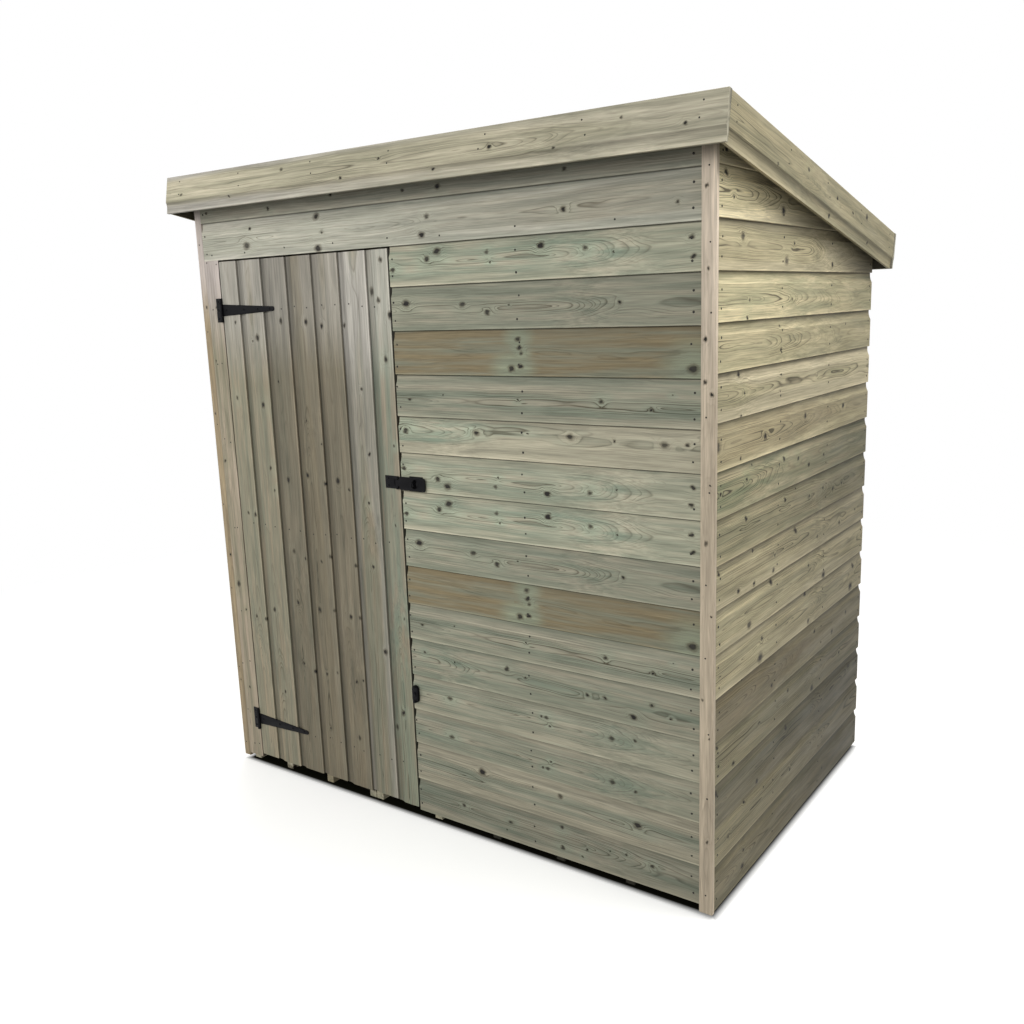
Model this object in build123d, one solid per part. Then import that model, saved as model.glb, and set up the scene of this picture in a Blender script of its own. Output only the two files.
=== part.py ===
"""Wooden pent-roof garden shed, 6 by 4 feet, in millimetres.

The front faces -Y, +X is to the right of a person facing the door, +Z is up. The origin is on the
ground under the middle of the roof. Walls are horizontal shiplap on light framing, the floor lies on
bearers, and one sloping roof panel with fascias on all four sides sits on the walls. The ledged and
braced door hangs on two tee hinges and is kept shut by a hasp and a small turn button.
"""
import os
from math import cos, radians, sin, tan

from build123d import *

# Walls
BODY_WIDTH = 1814.0
BODY_DEPTH = 1198.0
CLADDING_THICKNESS = 15.0
BOARD_SCOOP_HEIGHT = 26.0
BOARD_SCOOP_DEPTH = 6.5
BOARD_TONGUE = 4.0
SCOOP_MID_DEPTH_SHARE = 0.68
SCOOP_MID_HEIGHT_SHARE = 0.4
FRONT_CLADDING_BOTTOM = 25.0
SIDE_CLADDING_BOTTOM = 18.0
SIDE_SEAM_RISE = 8.0
FRAME_DEPTH = 28.0
FRAME_WIDTH = 44.0
STRIP_WIDTH = 37.0
STRIP_THICKNESS = 14.0
STRIP_BOTTOM = 14.0

# Doorway and door leaf
DOORWAY_FROM_CORNER = 82.0
DOORWAY_WIDTH = 737.0
BOARDS_BELOW_HEADER = 15
DOOR_GAP_LEFT = 5.0
DOOR_GAP_RIGHT = 6.0
DOOR_GAP_TOP = 5.0
DOOR_RISE = 8.0
DOOR_BOARD_COVER = 112.0
DOOR_FIRST_BOARD = 87.0
LEDGE_WIDTH = 70.0
LEDGE_THICKNESS = 20.0
LEDGE_INSET = 32.0
BRACE_WIDTH = 60.0
BRACE_CLEARANCE = 2.0

# Floor
BEARER_WIDTH = 28.0
BEARER_HEIGHT = 45.0
FLOOR_THICKNESS = 15.0
FLOOR_SIDE_CLEARANCE = 2.0
FLOOR_DOOR_CLEARANCE = 6.0
LEFT_FLOOR_WIDTH = 594.5
FLOOR_JOINT_GAP = 2.0
BEARER_JOINT_OFFSET = 15.5
LEFT_BEARER_PITCH = 198.5
LEFT_INNER_BEARERS = 3
FIRST_RIGHT_BEARER_PITCH = 248.0
RIGHT_BEARERS = 5

# Roof panel, square to its own slope
ROOF_SLOPE = 10.8
ROOF_FRONT_HEIGHT = 2010.0
HEADER_RISE = 263.0
FASCIA_DEPTH = 112.0
FASCIA_THICKNESS = 15.0
FASCIA_SCOOP_HEIGHT = 24.0
FASCIA_TONGUE = 10.0
DECK_THICKNESS = 12.0
FELT_THICKNESS = 3.0
FELT_PROUD = 2.0
EDGE_BATTEN = 28.0
SIDE_BATTEN_CLEARANCE = 6.0
END_BATTEN_CLEARANCE = 21.7
BATTEN_END_GAP = 2.0
PURLIN_WIDTH = 28.0
PURLIN_DEPTH = 44.0
PURLIN_SPACING = 400.0

# Wall studs
FRONT_STUD_FROM_DOORWAY = 440.0
SIDE_STUD_SPACING = 390.0
BACK_BAYS = 4

# Tee hinges
UPPER_HINGE_FROM_TOP = 153.0
LOWER_HINGE_FROM_FOOT = 139.0
HINGE_PLATE_WIDTH = 26.0
HINGE_PLATE_HEIGHT = 76.0
HINGE_STEEL = 2.5
HINGE_KNUCKLE_RADIUS = 5.5
HINGE_PIN_RADIUS = 2.5
HINGE_STRAP_LENGTH = 248.0
HINGE_STRAP_ROOT = 38.0
HINGE_STRAP_TIP = 14.0
PIN_CLEARANCE = 0.25
KNUCKLE_GAP = 0.6
LEAF_NOTCH_CLEARANCE = 1.5

# Hasp and staple
HASP_FROM_FOOT = 1040.0
HASP_HINGE_INSET = 6.0
HASP_STEEL = 2.0
HASP_KNUCKLE_RADIUS = 4.5
HASP_PIN_RADIUS = 1.8
HASP_PLATE_WIDTH = 50.0
HASP_PLATE_HEIGHT = 38.0
HASP_STRAP_LENGTH = 109.0
HASP_STRAP_HEIGHT = 40.0
HASP_CORNER_RADIUS = 6.0
HASP_KNUCKLE_SHARE = 0.5
HASP_LEAF_NOTCH = 14.0
HASP_NECK = 5.5
STAPLE_FROM_HINGE = 70.0
STAPLE_PLATE_WIDTH = 50.0
STAPLE_PLATE_HEIGHT = 44.0
STAPLE_WIRE_RADIUS = 2.5
STAPLE_LEG_SPACING = 18.0
STAPLE_REACH = 27.0
SLOT_WIDTH = 11.0
SLOT_CLEARANCE = 2.5

# Turn button
BUTTON_FROM_DOORWAY = 15.0
BUTTON_FROM_FOOT = 386.0
BUTTON_WIDTH = 22.0
BUTTON_LENGTH = 55.0
BUTTON_THICKNESS = 8.0
BUTTON_RIDGE = 5.0
BUTTON_RIDGE_WIDTH = 7.0
BUTTON_WASHER_RADIUS = 8.0
BUTTON_WASHER_THICKNESS = 4.0
BUTTON_SHANK_RADIUS = 3.0
BUTTON_HEAD_RADIUS = 6.0
BUTTON_HEAD_HEIGHT = 3.5
BUTTON_CLEARANCE = 0.3

# Places worked out from the driving sizes
HALF_WIDTH = BODY_WIDTH / 2
HALF_DEPTH = BODY_DEPTH / 2
FRONT_Y = -HALF_DEPTH
CLADDING_IN_X = HALF_WIDTH - CLADDING_THICKNESS
CLADDING_IN_Y = HALF_DEPTH - CLADDING_THICKNESS
FRAME_IN_X = CLADDING_IN_X - FRAME_DEPTH
FRAME_IN_Y = CLADDING_IN_Y - FRAME_DEPTH
DOORWAY_LEFT = DOORWAY_FROM_CORNER - HALF_WIDTH
DOORWAY_RIGHT = DOORWAY_LEFT + DOORWAY_WIDTH
FRONT_MIDDLE_STUD = DOORWAY_RIGHT + FRONT_STUD_FROM_DOORWAY
HEADER_BOTTOM = ROOF_FRONT_HEIGHT - HEADER_RISE
BOARD_COVER = (HEADER_BOTTOM - FRONT_CLADDING_BOTTOM) / BOARDS_BELOW_HEADER
FLOOR_TOP = BEARER_HEIGHT + FLOOR_THICKNESS
RAIL_TOP = FLOOR_TOP + FRAME_WIDTH
DOOR_LEFT = DOORWAY_LEFT + DOOR_GAP_LEFT
DOOR_RIGHT = DOORWAY_RIGHT - DOOR_GAP_RIGHT
DOOR_TOP = HEADER_BOTTOM - DOOR_GAP_TOP
DOOR_BOTTOM = FRONT_CLADDING_BOTTOM + DOOR_RISE
DOOR_BACK_Y = FRONT_Y + CLADDING_THICKNESS
UPPER_HINGE_HEIGHT = DOOR_TOP - UPPER_HINGE_FROM_TOP
LOWER_HINGE_HEIGHT = DOOR_BOTTOM + LOWER_HINGE_FROM_FOOT
MIDDLE_LEDGE_HEIGHT = (UPPER_HINGE_HEIGHT + LOWER_HINGE_HEIGHT) / 2
HASP_HEIGHT = DOOR_BOTTOM + HASP_FROM_FOOT
BUTTON_HEIGHT = DOOR_BOTTOM + BUTTON_FROM_FOOT
HINGE_X = (DOORWAY_LEFT + DOOR_LEFT) / 2
HINGE_Y = FRONT_Y - HINGE_KNUCKLE_RADIUS
HASP_X = DOOR_RIGHT - HASP_HINGE_INSET
HASP_Y = FRONT_Y - HASP_KNUCKLE_RADIUS
STAPLE_X = HASP_X + STAPLE_FROM_HINGE
BUTTON_X = DOORWAY_RIGHT + BUTTON_FROM_DOORWAY
SLOPE_COS = cos(radians(ROOF_SLOPE))
SLOPE_SIN = sin(radians(ROOF_SLOPE))
SLOPE_TAN = tan(radians(ROOF_SLOPE))
FASCIA_FLAT = FASCIA_DEPTH - FASCIA_TONGUE - FASCIA_SCOOP_HEIGHT
FASCIA_FOOT_LEAN = FASCIA_DEPTH * SLOPE_SIN - BOARD_SCOOP_DEPTH * SLOPE_COS
FASCIA_LEAN = max(FASCIA_FLAT * SLOPE_SIN, FASCIA_FOOT_LEAN)
ROOF_SIDE_OVERHANG = FASCIA_THICKNESS + EDGE_BATTEN + SIDE_BATTEN_CLEARANCE
ROOF_END_OVERHANG = FASCIA_THICKNESS + EDGE_BATTEN + END_BATTEN_CLEARANCE + STRIP_THICKNESS
ROOF_WIDTH = BODY_WIDTH + 2 * ROOF_SIDE_OVERHANG
ROOF_HALF_REACH = HALF_DEPTH + ROOF_END_OVERHANG
ROOF_LENGTH = (2 * ROOF_HALF_REACH - FASCIA_LEAN) / SLOPE_COS
ROOF_FRONT_Y = FASCIA_LEAN - ROOF_HALF_REACH
DECK_TOP = FELT_PROUD - FELT_THICKNESS
DECK_UNDERSIDE = DECK_TOP - DECK_THICKNESS
ROOF_INNER_WIDTH = ROOF_WIDTH - 2 * FASCIA_THICKNESS
ROOF_INNER_LENGTH = ROOF_LENGTH - 2 * FASCIA_THICKNESS
OVERRUN = ROOF_LENGTH / 2

# The roof panel's own frame: X across, Y down the slope from the front edge, Z square to the deck
ROOF = Location((0, ROOF_FRONT_Y, ROOF_FRONT_HEIGHT), (-ROOF_SLOPE, 0, 0))
UP = Vector(0, 0, 1)


def block(x0, x1, y0, y1, z0, z1):
    """A square-edged piece of timber between two corners."""
    corner = (Align.MIN, Align.MIN, Align.MIN)
    return Pos(x0, y0, z0) * Box(x1 - x0, y1 - y0, z1 - z0, align=corner)


def upright(radius, x, y, z0, z1):
    """A vertical round bar."""
    return Pos(x, y, (z0 + z1) / 2) * Cylinder(radius, z1 - z0)


def forward_bar(radius, x, z, y0, y1):
    """A round bar along Y."""
    return Pos(x, (y0 + y1) / 2, z) * Rot(90, 0, 0) * Cylinder(radius, y1 - y0)


def above_roof_level(level):
    """The space over a plane that lies at this level in the roof's frame."""
    reach = ROOF_WIDTH + OVERRUN
    return ROOF * block(-reach, reach, -OVERRUN, ROOF_LENGTH + OVERRUN, level, OVERRUN)


def deck_underside_z(y):
    """Height of the roof deck's underside at this distance from the middle."""
    return ROOF_FRONT_HEIGHT - (y - ROOF_FRONT_Y) * SLOPE_TAN + DECK_UNDERSIDE / SLOPE_COS


def scoop(start, end):
    """The hollow at a board's lapped edge, from its face to the tongue."""
    mid_depth = start[0] + (end[0] - start[0]) * SCOOP_MID_DEPTH_SHARE
    mid_height = start[1] + (end[1] - start[1]) * SCOOP_MID_HEIGHT_SHARE
    return ThreePointArc(start, (mid_depth, mid_height), end)


def shiplap_profile(first_cover, cover, total):
    """Section through a wall of lapped boards: depth behind the face, then height up the wall.

    Each board is flat, then scooped away towards its upper edge, where the square edge of the next
    board stands proud over it.
    """
    edges = [Line((CLADDING_THICKNESS, 0), (0, 0))]
    bottom = 0.0
    top = first_cover
    while top < total:
        scoop_end = (BOARD_SCOOP_DEPTH, top - BOARD_TONGUE)
        scoop_start = (0, scoop_end[1] - BOARD_SCOOP_HEIGHT)
        edges.append(Line((0, bottom), scoop_start))
        edges.append(scoop(scoop_start, scoop_end))
        edges.append(Line(scoop_end, (BOARD_SCOOP_DEPTH, top)))
        edges.append(Line((BOARD_SCOOP_DEPTH, top), (0, top)))
        bottom = top
        top += cover
    edges.append(Line((0, bottom), (0, total)))
    edges.append(Line((0, total), (CLADDING_THICKNESS, total)))
    edges.append(Line((CLADDING_THICKNESS, total), (CLADDING_THICKNESS, 0)))
    return make_face(edges)


def panel(origin, inward, length, profile):
    """A board wall: the section stood on its origin and run along the wall."""
    run = Vector(*inward).cross(UP)
    place = Plane(origin=origin, x_dir=inward, z_dir=run)
    return extrude(place * profile, amount=length)


def front_cladding():
    """Boards to the right of the doorway, and the boards over it from side to side."""
    height = HEADER_BOTTOM - FRONT_CLADDING_BOTTOM
    wall = panel(
        (DOORWAY_RIGHT, FRONT_Y, FRONT_CLADDING_BOTTOM),
        (0, 1, 0),
        CLADDING_IN_X - DOORWAY_RIGHT,
        shiplap_profile(BOARD_COVER, BOARD_COVER, height + BOARD_COVER / 2),
    )
    wall -= block(
        DOORWAY_RIGHT, CLADDING_IN_X, FRONT_Y, DOOR_BACK_Y, HEADER_BOTTOM, HEADER_BOTTOM + OVERRUN
    )
    header = panel(
        (-CLADDING_IN_X, FRONT_Y, HEADER_BOTTOM),
        (0, 1, 0),
        2 * CLADDING_IN_X,
        shiplap_profile(BOARD_COVER, BOARD_COVER, ROOF_FRONT_HEIGHT - HEADER_BOTTOM),
    )
    return wall, header - above_roof_level(DECK_UNDERSIDE)


def right_cladding():
    """Boards of the right wall, cut off under the sloping roof."""
    first = FRONT_CLADDING_BOTTOM + BOARD_COVER + SIDE_SEAM_RISE - SIDE_CLADDING_BOTTOM
    boards = panel(
        (HALF_WIDTH, -HALF_DEPTH, SIDE_CLADDING_BOTTOM),
        (-1, 0, 0),
        BODY_DEPTH,
        shiplap_profile(first, BOARD_COVER, ROOF_FRONT_HEIGHT - SIDE_CLADDING_BOTTOM),
    )
    return boards - above_roof_level(DECK_UNDERSIDE)


def back_cladding():
    """Boards of the back wall, between the two side walls."""
    boards = panel(
        (CLADDING_IN_X, HALF_DEPTH, FRONT_CLADDING_BOTTOM),
        (0, -1, 0),
        2 * CLADDING_IN_X,
        shiplap_profile(BOARD_COVER, BOARD_COVER, ROOF_FRONT_HEIGHT - FRONT_CLADDING_BOTTOM),
    )
    return boards - above_roof_level(DECK_UNDERSIDE)


def left_jamb_board():
    """The plank on the hinge side of the doorway."""
    return block(
        -CLADDING_IN_X, DOORWAY_LEFT, FRONT_Y, DOOR_BACK_Y, FRONT_CLADDING_BOTTOM, HEADER_BOTTOM
    )


def right_corner_strip():
    """The cover strip over the front corner, up to the underside of the roof."""
    strip = block(
        HALF_WIDTH - STRIP_WIDTH,
        HALF_WIDTH,
        FRONT_Y - STRIP_THICKNESS,
        FRONT_Y,
        STRIP_BOTTOM,
        ROOF_FRONT_HEIGHT,
    )
    return strip - above_roof_level(DECK_UNDERSIDE)


def left_corner_strip():
    """The strip over the left wall's board ends, flush with the front boards and the plank.

    It stands proud of the left wall, so it stops under the roof's edge batten.
    """
    strip = block(
        -HALF_WIDTH - STRIP_THICKNESS,
        -CLADDING_IN_X,
        FRONT_Y,
        FRONT_Y + STRIP_THICKNESS,
        STRIP_BOTTOM,
        ROOF_FRONT_HEIGHT,
    )
    return strip - above_roof_level(DECK_UNDERSIDE - EDGE_BATTEN)


def front_frame():
    """Posts and rails behind the front boards, with a head rail over the doorway."""
    y0 = -CLADDING_IN_Y
    y1 = -FRAME_IN_Y
    top_rail_bottom = deck_underside_z(y1) - FRAME_WIDTH
    half = FRAME_WIDTH / 2
    studs = [
        block(-FRAME_IN_X, DOORWAY_LEFT, y0, y1, FLOOR_TOP, top_rail_bottom),
        block(DOORWAY_RIGHT, DOORWAY_RIGHT + FRAME_WIDTH, y0, y1, RAIL_TOP, top_rail_bottom),
        block(FRONT_MIDDLE_STUD - half, FRONT_MIDDLE_STUD + half, y0, y1, RAIL_TOP, top_rail_bottom),
        block(FRAME_IN_X - FRAME_WIDTH, FRAME_IN_X, y0, y1, RAIL_TOP, top_rail_bottom),
    ]
    top_rail = block(-FRAME_IN_X, FRAME_IN_X, y0, y1, top_rail_bottom, ROOF_FRONT_HEIGHT)
    rails = [
        top_rail - above_roof_level(DECK_UNDERSIDE),
        block(DOORWAY_LEFT, DOORWAY_RIGHT, y0, y1, HEADER_BOTTOM, HEADER_BOTTOM + FRAME_WIDTH),
        block(DOORWAY_RIGHT, FRAME_IN_X, y0, y1, FLOOR_TOP, RAIL_TOP),
    ]
    return Compound(studs), Compound(rails)


def right_frame():
    """Studs and rails of the right wall; the top rail lies along the slope."""
    rail_level = DECK_UNDERSIDE - FRAME_WIDTH
    sloping = ROOF * block(
        FRAME_IN_X, CLADDING_IN_X, -OVERRUN, ROOF_LENGTH + OVERRUN, rail_level, DECK_UNDERSIDE
    )
    between = block(
        FRAME_IN_X, CLADDING_IN_X, -CLADDING_IN_Y, CLADDING_IN_Y, 0, ROOF_FRONT_HEIGHT + OVERRUN
    )
    rails = [
        sloping & between,
        block(FRAME_IN_X, CLADDING_IN_X, -CLADDING_IN_Y, CLADDING_IN_Y, FLOOR_TOP, RAIL_TOP),
    ]
    half = FRAME_WIDTH / 2
    end_stud = CLADDING_IN_Y - half
    studs = []
    for y in (-end_stud, -SIDE_STUD_SPACING / 2, SIDE_STUD_SPACING / 2, end_stud):
        stud = block(FRAME_IN_X, CLADDING_IN_X, y - half, y + half, RAIL_TOP, ROOF_FRONT_HEIGHT)
        studs.append(stud - above_roof_level(rail_level))
    return Compound(studs), Compound(rails)


def back_frame():
    """Studs and rails of the back wall."""
    y0 = FRAME_IN_Y
    y1 = CLADDING_IN_Y
    half = FRAME_WIDTH / 2
    top_rail_bottom = deck_underside_z(y1) - FRAME_WIDTH
    end_stud = FRAME_IN_X - half
    studs = []
    for n in range(BACK_BAYS + 1):
        x = end_stud * (2 * n / BACK_BAYS - 1)
        studs.append(block(x - half, x + half, y0, y1, RAIL_TOP, top_rail_bottom))
    top_rail = block(-FRAME_IN_X, FRAME_IN_X, y0, y1, top_rail_bottom, ROOF_FRONT_HEIGHT)
    rails = [
        top_rail - above_roof_level(DECK_UNDERSIDE),
        block(-FRAME_IN_X, FRAME_IN_X, y0, y1, FLOOR_TOP, RAIL_TOP),
    ]
    return Compound(studs), Compound(rails)


def floor():
    """Two floor panels on bearers that run from front to back."""
    edge_x = CLADDING_IN_X - FLOOR_SIDE_CLEARANCE
    edge_y = CLADDING_IN_Y - FLOOR_DOOR_CLEARANCE
    half_gap = FLOOR_JOINT_GAP / 2
    joint_x = LEFT_FLOOR_WIDTH - edge_x
    deck = [
        block(-edge_x, joint_x - half_gap, -edge_y, edge_y, BEARER_HEIGHT, FLOOR_TOP),
        block(joint_x + half_gap, edge_x, -edge_y, edge_y, BEARER_HEIGHT, FLOOR_TOP),
    ]
    left_joint = joint_x - BEARER_JOINT_OFFSET
    right_joint = joint_x + BEARER_JOINT_OFFSET
    second_right = right_joint + FIRST_RIGHT_BEARER_PITCH
    edge_bearer = edge_x - BEARER_WIDTH / 2
    right_pitch = (edge_bearer - second_right) / (RIGHT_BEARERS - 1)
    centres = [-edge_bearer, right_joint]
    centres.extend(left_joint - LEFT_BEARER_PITCH * n for n in range(LEFT_INNER_BEARERS))
    centres.extend(second_right + right_pitch * n for n in range(RIGHT_BEARERS))
    half = BEARER_WIDTH / 2
    bearers = [block(x - half, x + half, -edge_y, edge_y, 0, BEARER_HEIGHT) for x in centres]
    return Compound(bearers), Compound(deck)


def fascia_profile():
    """A board hung upside down: flat above, scooped to a thin tongue along its lower edge."""
    scoop_top = -FASCIA_FLAT
    tongue_top = FASCIA_TONGUE - FASCIA_DEPTH
    edges = [
        Line((FASCIA_THICKNESS, 0), (0, 0)),
        Line((0, 0), (0, scoop_top)),
        scoop((0, scoop_top), (BOARD_SCOOP_DEPTH, tongue_top)),
        Line((BOARD_SCOOP_DEPTH, tongue_top), (BOARD_SCOOP_DEPTH, -FASCIA_DEPTH)),
        Line((BOARD_SCOOP_DEPTH, -FASCIA_DEPTH), (FASCIA_THICKNESS, -FASCIA_DEPTH)),
        Line((FASCIA_THICKNESS, -FASCIA_DEPTH), (FASCIA_THICKNESS, 0)),
    ]
    return make_face(edges)


def fascias():
    """Front and back boards across the roof's full width, side boards between them."""
    half = ROOF_WIDTH / 2
    section = fascia_profile()
    front = panel((-half, 0, 0), (0, 1, 0), ROOF_WIDTH, section)
    back = panel((half, ROOF_LENGTH, 0), (0, -1, 0), ROOF_WIDTH, section)
    right = panel((half, FASCIA_THICKNESS, 0), (-1, 0, 0), ROOF_INNER_LENGTH, section)
    left = mirror(right, about=Plane.YZ)
    return ROOF * front, ROOF * back, ROOF * left, ROOF * right


def roof_deck():
    """The boarded panel inside the fascias, and the felt on it."""
    half = ROOF_INNER_WIDTH / 2
    end = FASCIA_THICKNESS + ROOF_INNER_LENGTH
    deck = block(-half, half, FASCIA_THICKNESS, end, DECK_UNDERSIDE, DECK_TOP)
    felt = block(-half, half, FASCIA_THICKNESS, end, DECK_TOP, FELT_PROUD)
    return ROOF * deck, ROOF * felt


def roof_battens():
    """Battens under the deck's edges, which carry the fascias, and purlins between the side walls."""
    half = ROOF_INNER_WIDTH / 2
    start = FASCIA_THICKNESS
    end = FASCIA_THICKNESS + ROOF_INNER_LENGTH
    low = DECK_UNDERSIDE - EDGE_BATTEN
    side_start = start + EDGE_BATTEN + BATTEN_END_GAP
    side_end = end - EDGE_BATTEN - BATTEN_END_GAP
    edge = [
        block(-half, half, start, start + EDGE_BATTEN, low, DECK_UNDERSIDE),
        block(-half, half, end - EDGE_BATTEN, end, low, DECK_UNDERSIDE),
        block(-half, EDGE_BATTEN - half, side_start, side_end, low, DECK_UNDERSIDE),
        block(half - EDGE_BATTEN, half, side_start, side_end, low, DECK_UNDERSIDE),
    ]
    purlins = []
    for centre in (ROOF_LENGTH - PURLIN_SPACING, ROOF_LENGTH + PURLIN_SPACING):
        y0 = (centre - PURLIN_WIDTH) / 2
        purlin_low = DECK_UNDERSIDE - PURLIN_DEPTH
        purlins.append(
            block(-FRAME_IN_X, FRAME_IN_X, y0, y0 + PURLIN_WIDTH, purlin_low, DECK_UNDERSIDE)
        )
    return ROOF * Compound(edge), ROOF * Compound(purlins)


def door_boards():
    """Upright boards of the leaf, lapped from its closing edge."""
    width = DOOR_RIGHT - DOOR_LEFT
    section = shiplap_profile(DOOR_FIRST_BOARD, DOOR_BOARD_COVER, width)
    place = Plane(origin=(DOOR_RIGHT, FRONT_Y, DOOR_BOTTOM), x_dir=(0, 1, 0), z_dir=(0, 0, 1))
    return extrude(place * section, amount=DOOR_TOP - DOOR_BOTTOM)


def ledge(height):
    """A board across the back of the leaf."""
    return block(
        DOOR_LEFT + LEDGE_INSET,
        DOOR_RIGHT - LEDGE_INSET,
        DOOR_BACK_Y,
        DOOR_BACK_Y + LEDGE_THICKNESS,
        height - LEDGE_WIDTH / 2,
        height + LEDGE_WIDTH / 2,
    )


def brace(low_ledge, high_ledge):
    """A board from the hinge end of one ledge up to the closing end of the next."""
    low = low_ledge + LEDGE_WIDTH / 2 + BRACE_CLEARANCE
    high = high_ledge - LEDGE_WIDTH / 2 - BRACE_CLEARANCE
    left = DOOR_LEFT + LEDGE_INSET
    right = DOOR_RIGHT - LEDGE_INSET
    rise = high - low
    foot = BRACE_WIDTH * (rise**2 + (right - left - BRACE_WIDTH) ** 2) ** 0.5 / rise
    outline = Polyline((left, low), (left + foot, low), (right, high), (right - foot, high), close=True)
    place = Plane(origin=(0, DOOR_BACK_Y, 0), x_dir=(1, 0, 0), z_dir=(0, -1, 0))
    return extrude(place * make_face(outline), amount=-LEDGE_THICKNESS)


def hinge_plate(height):
    """The tee hinge's upright leaf on the jamb, with its two knuckles and the pin."""
    half = HINGE_PLATE_HEIGHT / 2
    inner = HINGE_STRAP_ROOT / 2 + KNUCKLE_GAP
    leaf_edge = HINGE_X - HINGE_KNUCKLE_RADIUS - LEAF_NOTCH_CLEARANCE
    face = FRONT_Y - HINGE_STEEL
    plate = block(HINGE_X - HINGE_PLATE_WIDTH, leaf_edge, face, FRONT_Y, height - half, height + half)
    plate += upright(HINGE_PIN_RADIUS, HINGE_X, HINGE_Y, height - half, height + half)
    for z0, z1 in ((height - half, height - inner), (height + inner, height + half)):
        plate += block(leaf_edge, HINGE_X, face, FRONT_Y, z0, z1)
        plate += upright(HINGE_KNUCKLE_RADIUS, HINGE_X, HINGE_Y, z0, z1)
    return plate


def hinge_strap(height):
    """The tee hinge's tapering strap on the door, with its knuckle round the pin."""
    root = HINGE_STRAP_ROOT / 2
    tip = HINGE_STRAP_TIP / 2
    tip_x = HINGE_STRAP_LENGTH - tip
    outline = [
        Line((0, -root), (0, root)),
        Line((0, root), (tip_x, tip)),
        ThreePointArc((tip_x, tip), (HINGE_STRAP_LENGTH, 0), (tip_x, -tip)),
        Line((tip_x, -tip), (0, -root)),
    ]
    place = Plane(origin=(HINGE_X, FRONT_Y, height), x_dir=(1, 0, 0), z_dir=(0, -1, 0))
    strap = extrude(place * make_face(outline), amount=HINGE_STEEL)
    strap += upright(HINGE_KNUCKLE_RADIUS, HINGE_X, HINGE_Y, height - root, height + root)
    bore = HINGE_PIN_RADIUS + PIN_CLEARANCE
    return strap - upright(bore, HINGE_X, HINGE_Y, height - OVERRUN, height + OVERRUN)


def hasp_hinge_plate():
    """The hasp's fixed leaf on the door, with its outer knuckles and pin."""
    half = HASP_PLATE_HEIGHT / 2
    inner = half * HASP_KNUCKLE_SHARE + KNUCKLE_GAP
    face = FRONT_Y - HASP_STEEL
    low = HASP_HEIGHT - half
    high = HASP_HEIGHT + half
    plate = block(HASP_X - HASP_PLATE_WIDTH, HASP_X - HASP_LEAF_NOTCH, face, FRONT_Y, low, high)
    plate += upright(HASP_PIN_RADIUS, HASP_X, HASP_Y, low, high)
    for z0, z1 in ((low, HASP_HEIGHT - inner), (HASP_HEIGHT + inner, high)):
        plate += block(HASP_X - HASP_LEAF_NOTCH, HASP_X, face, FRONT_Y, z0, z1)
        plate += upright(HASP_KNUCKLE_RADIUS, HASP_X, HASP_Y, z0, z1)
    return plate


def hasp_strap():
    """The hasp's swinging leaf, with the slot that drops over the staple."""
    half = HASP_STRAP_HEIGHT / 2
    knuckle = HASP_PLATE_HEIGHT / 2 * HASP_KNUCKLE_SHARE
    slot_height = STAPLE_LEG_SPACING + 2 * STAPLE_WIRE_RADIUS + 2 * SLOT_CLEARANCE
    body_start = HASP_KNUCKLE_RADIUS + HASP_NECK
    body_length = HASP_STRAP_LENGTH - body_start
    front = HASP_Y - HASP_KNUCKLE_RADIUS
    place = Plane(origin=(HASP_X, front, HASP_HEIGHT), x_dir=(1, 0, 0), z_dir=(0, -1, 0))
    outline = Pos(body_start + body_length / 2, 0) * RectangleRounded(
        body_length, 2 * half, HASP_CORNER_RADIUS
    )
    outline += Pos(body_start / 2 + HASP_CORNER_RADIUS / 2, 0) * Rectangle(
        body_start + HASP_CORNER_RADIUS, 2 * knuckle
    )
    outline -= Pos(STAPLE_FROM_HINGE, 0) * SlotOverall(slot_height, SLOT_WIDTH, rotation=90)
    strap = extrude(place * outline, amount=-HASP_STEEL)
    strap += upright(HASP_KNUCKLE_RADIUS, HASP_X, HASP_Y, HASP_HEIGHT - knuckle, HASP_HEIGHT + knuckle)
    bore = HASP_PIN_RADIUS + PIN_CLEARANCE
    return strap - upright(bore, HASP_X, HASP_Y, HASP_HEIGHT - OVERRUN, HASP_HEIGHT + OVERRUN)


def hasp_staple():
    """The wire loop that stands through the hasp's slot, on its plate."""
    half_width = STAPLE_PLATE_WIDTH / 2
    half_height = STAPLE_PLATE_HEIGHT / 2
    staple = block(
        STAPLE_X - half_width,
        STAPLE_X + half_width,
        FRONT_Y - HASP_STEEL,
        FRONT_Y,
        HASP_HEIGHT - half_height,
        HASP_HEIGHT + half_height,
    )
    bend = STAPLE_LEG_SPACING / 2
    leg_end = FRONT_Y - STAPLE_REACH + STAPLE_WIRE_RADIUS + bend
    for side in (-bend, bend):
        staple += forward_bar(STAPLE_WIRE_RADIUS, STAPLE_X, HASP_HEIGHT + side, leg_end, FRONT_Y)
    ring = Pos(STAPLE_X, leg_end, HASP_HEIGHT) * Rot(0, 90, 0) * Torus(bend, STAPLE_WIRE_RADIUS)
    front_half = block(
        STAPLE_X - half_width,
        STAPLE_X + half_width,
        leg_end - STAPLE_REACH,
        leg_end,
        HASP_HEIGHT - half_height,
        HASP_HEIGHT + half_height,
    )
    return staple + (ring & front_half)


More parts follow.
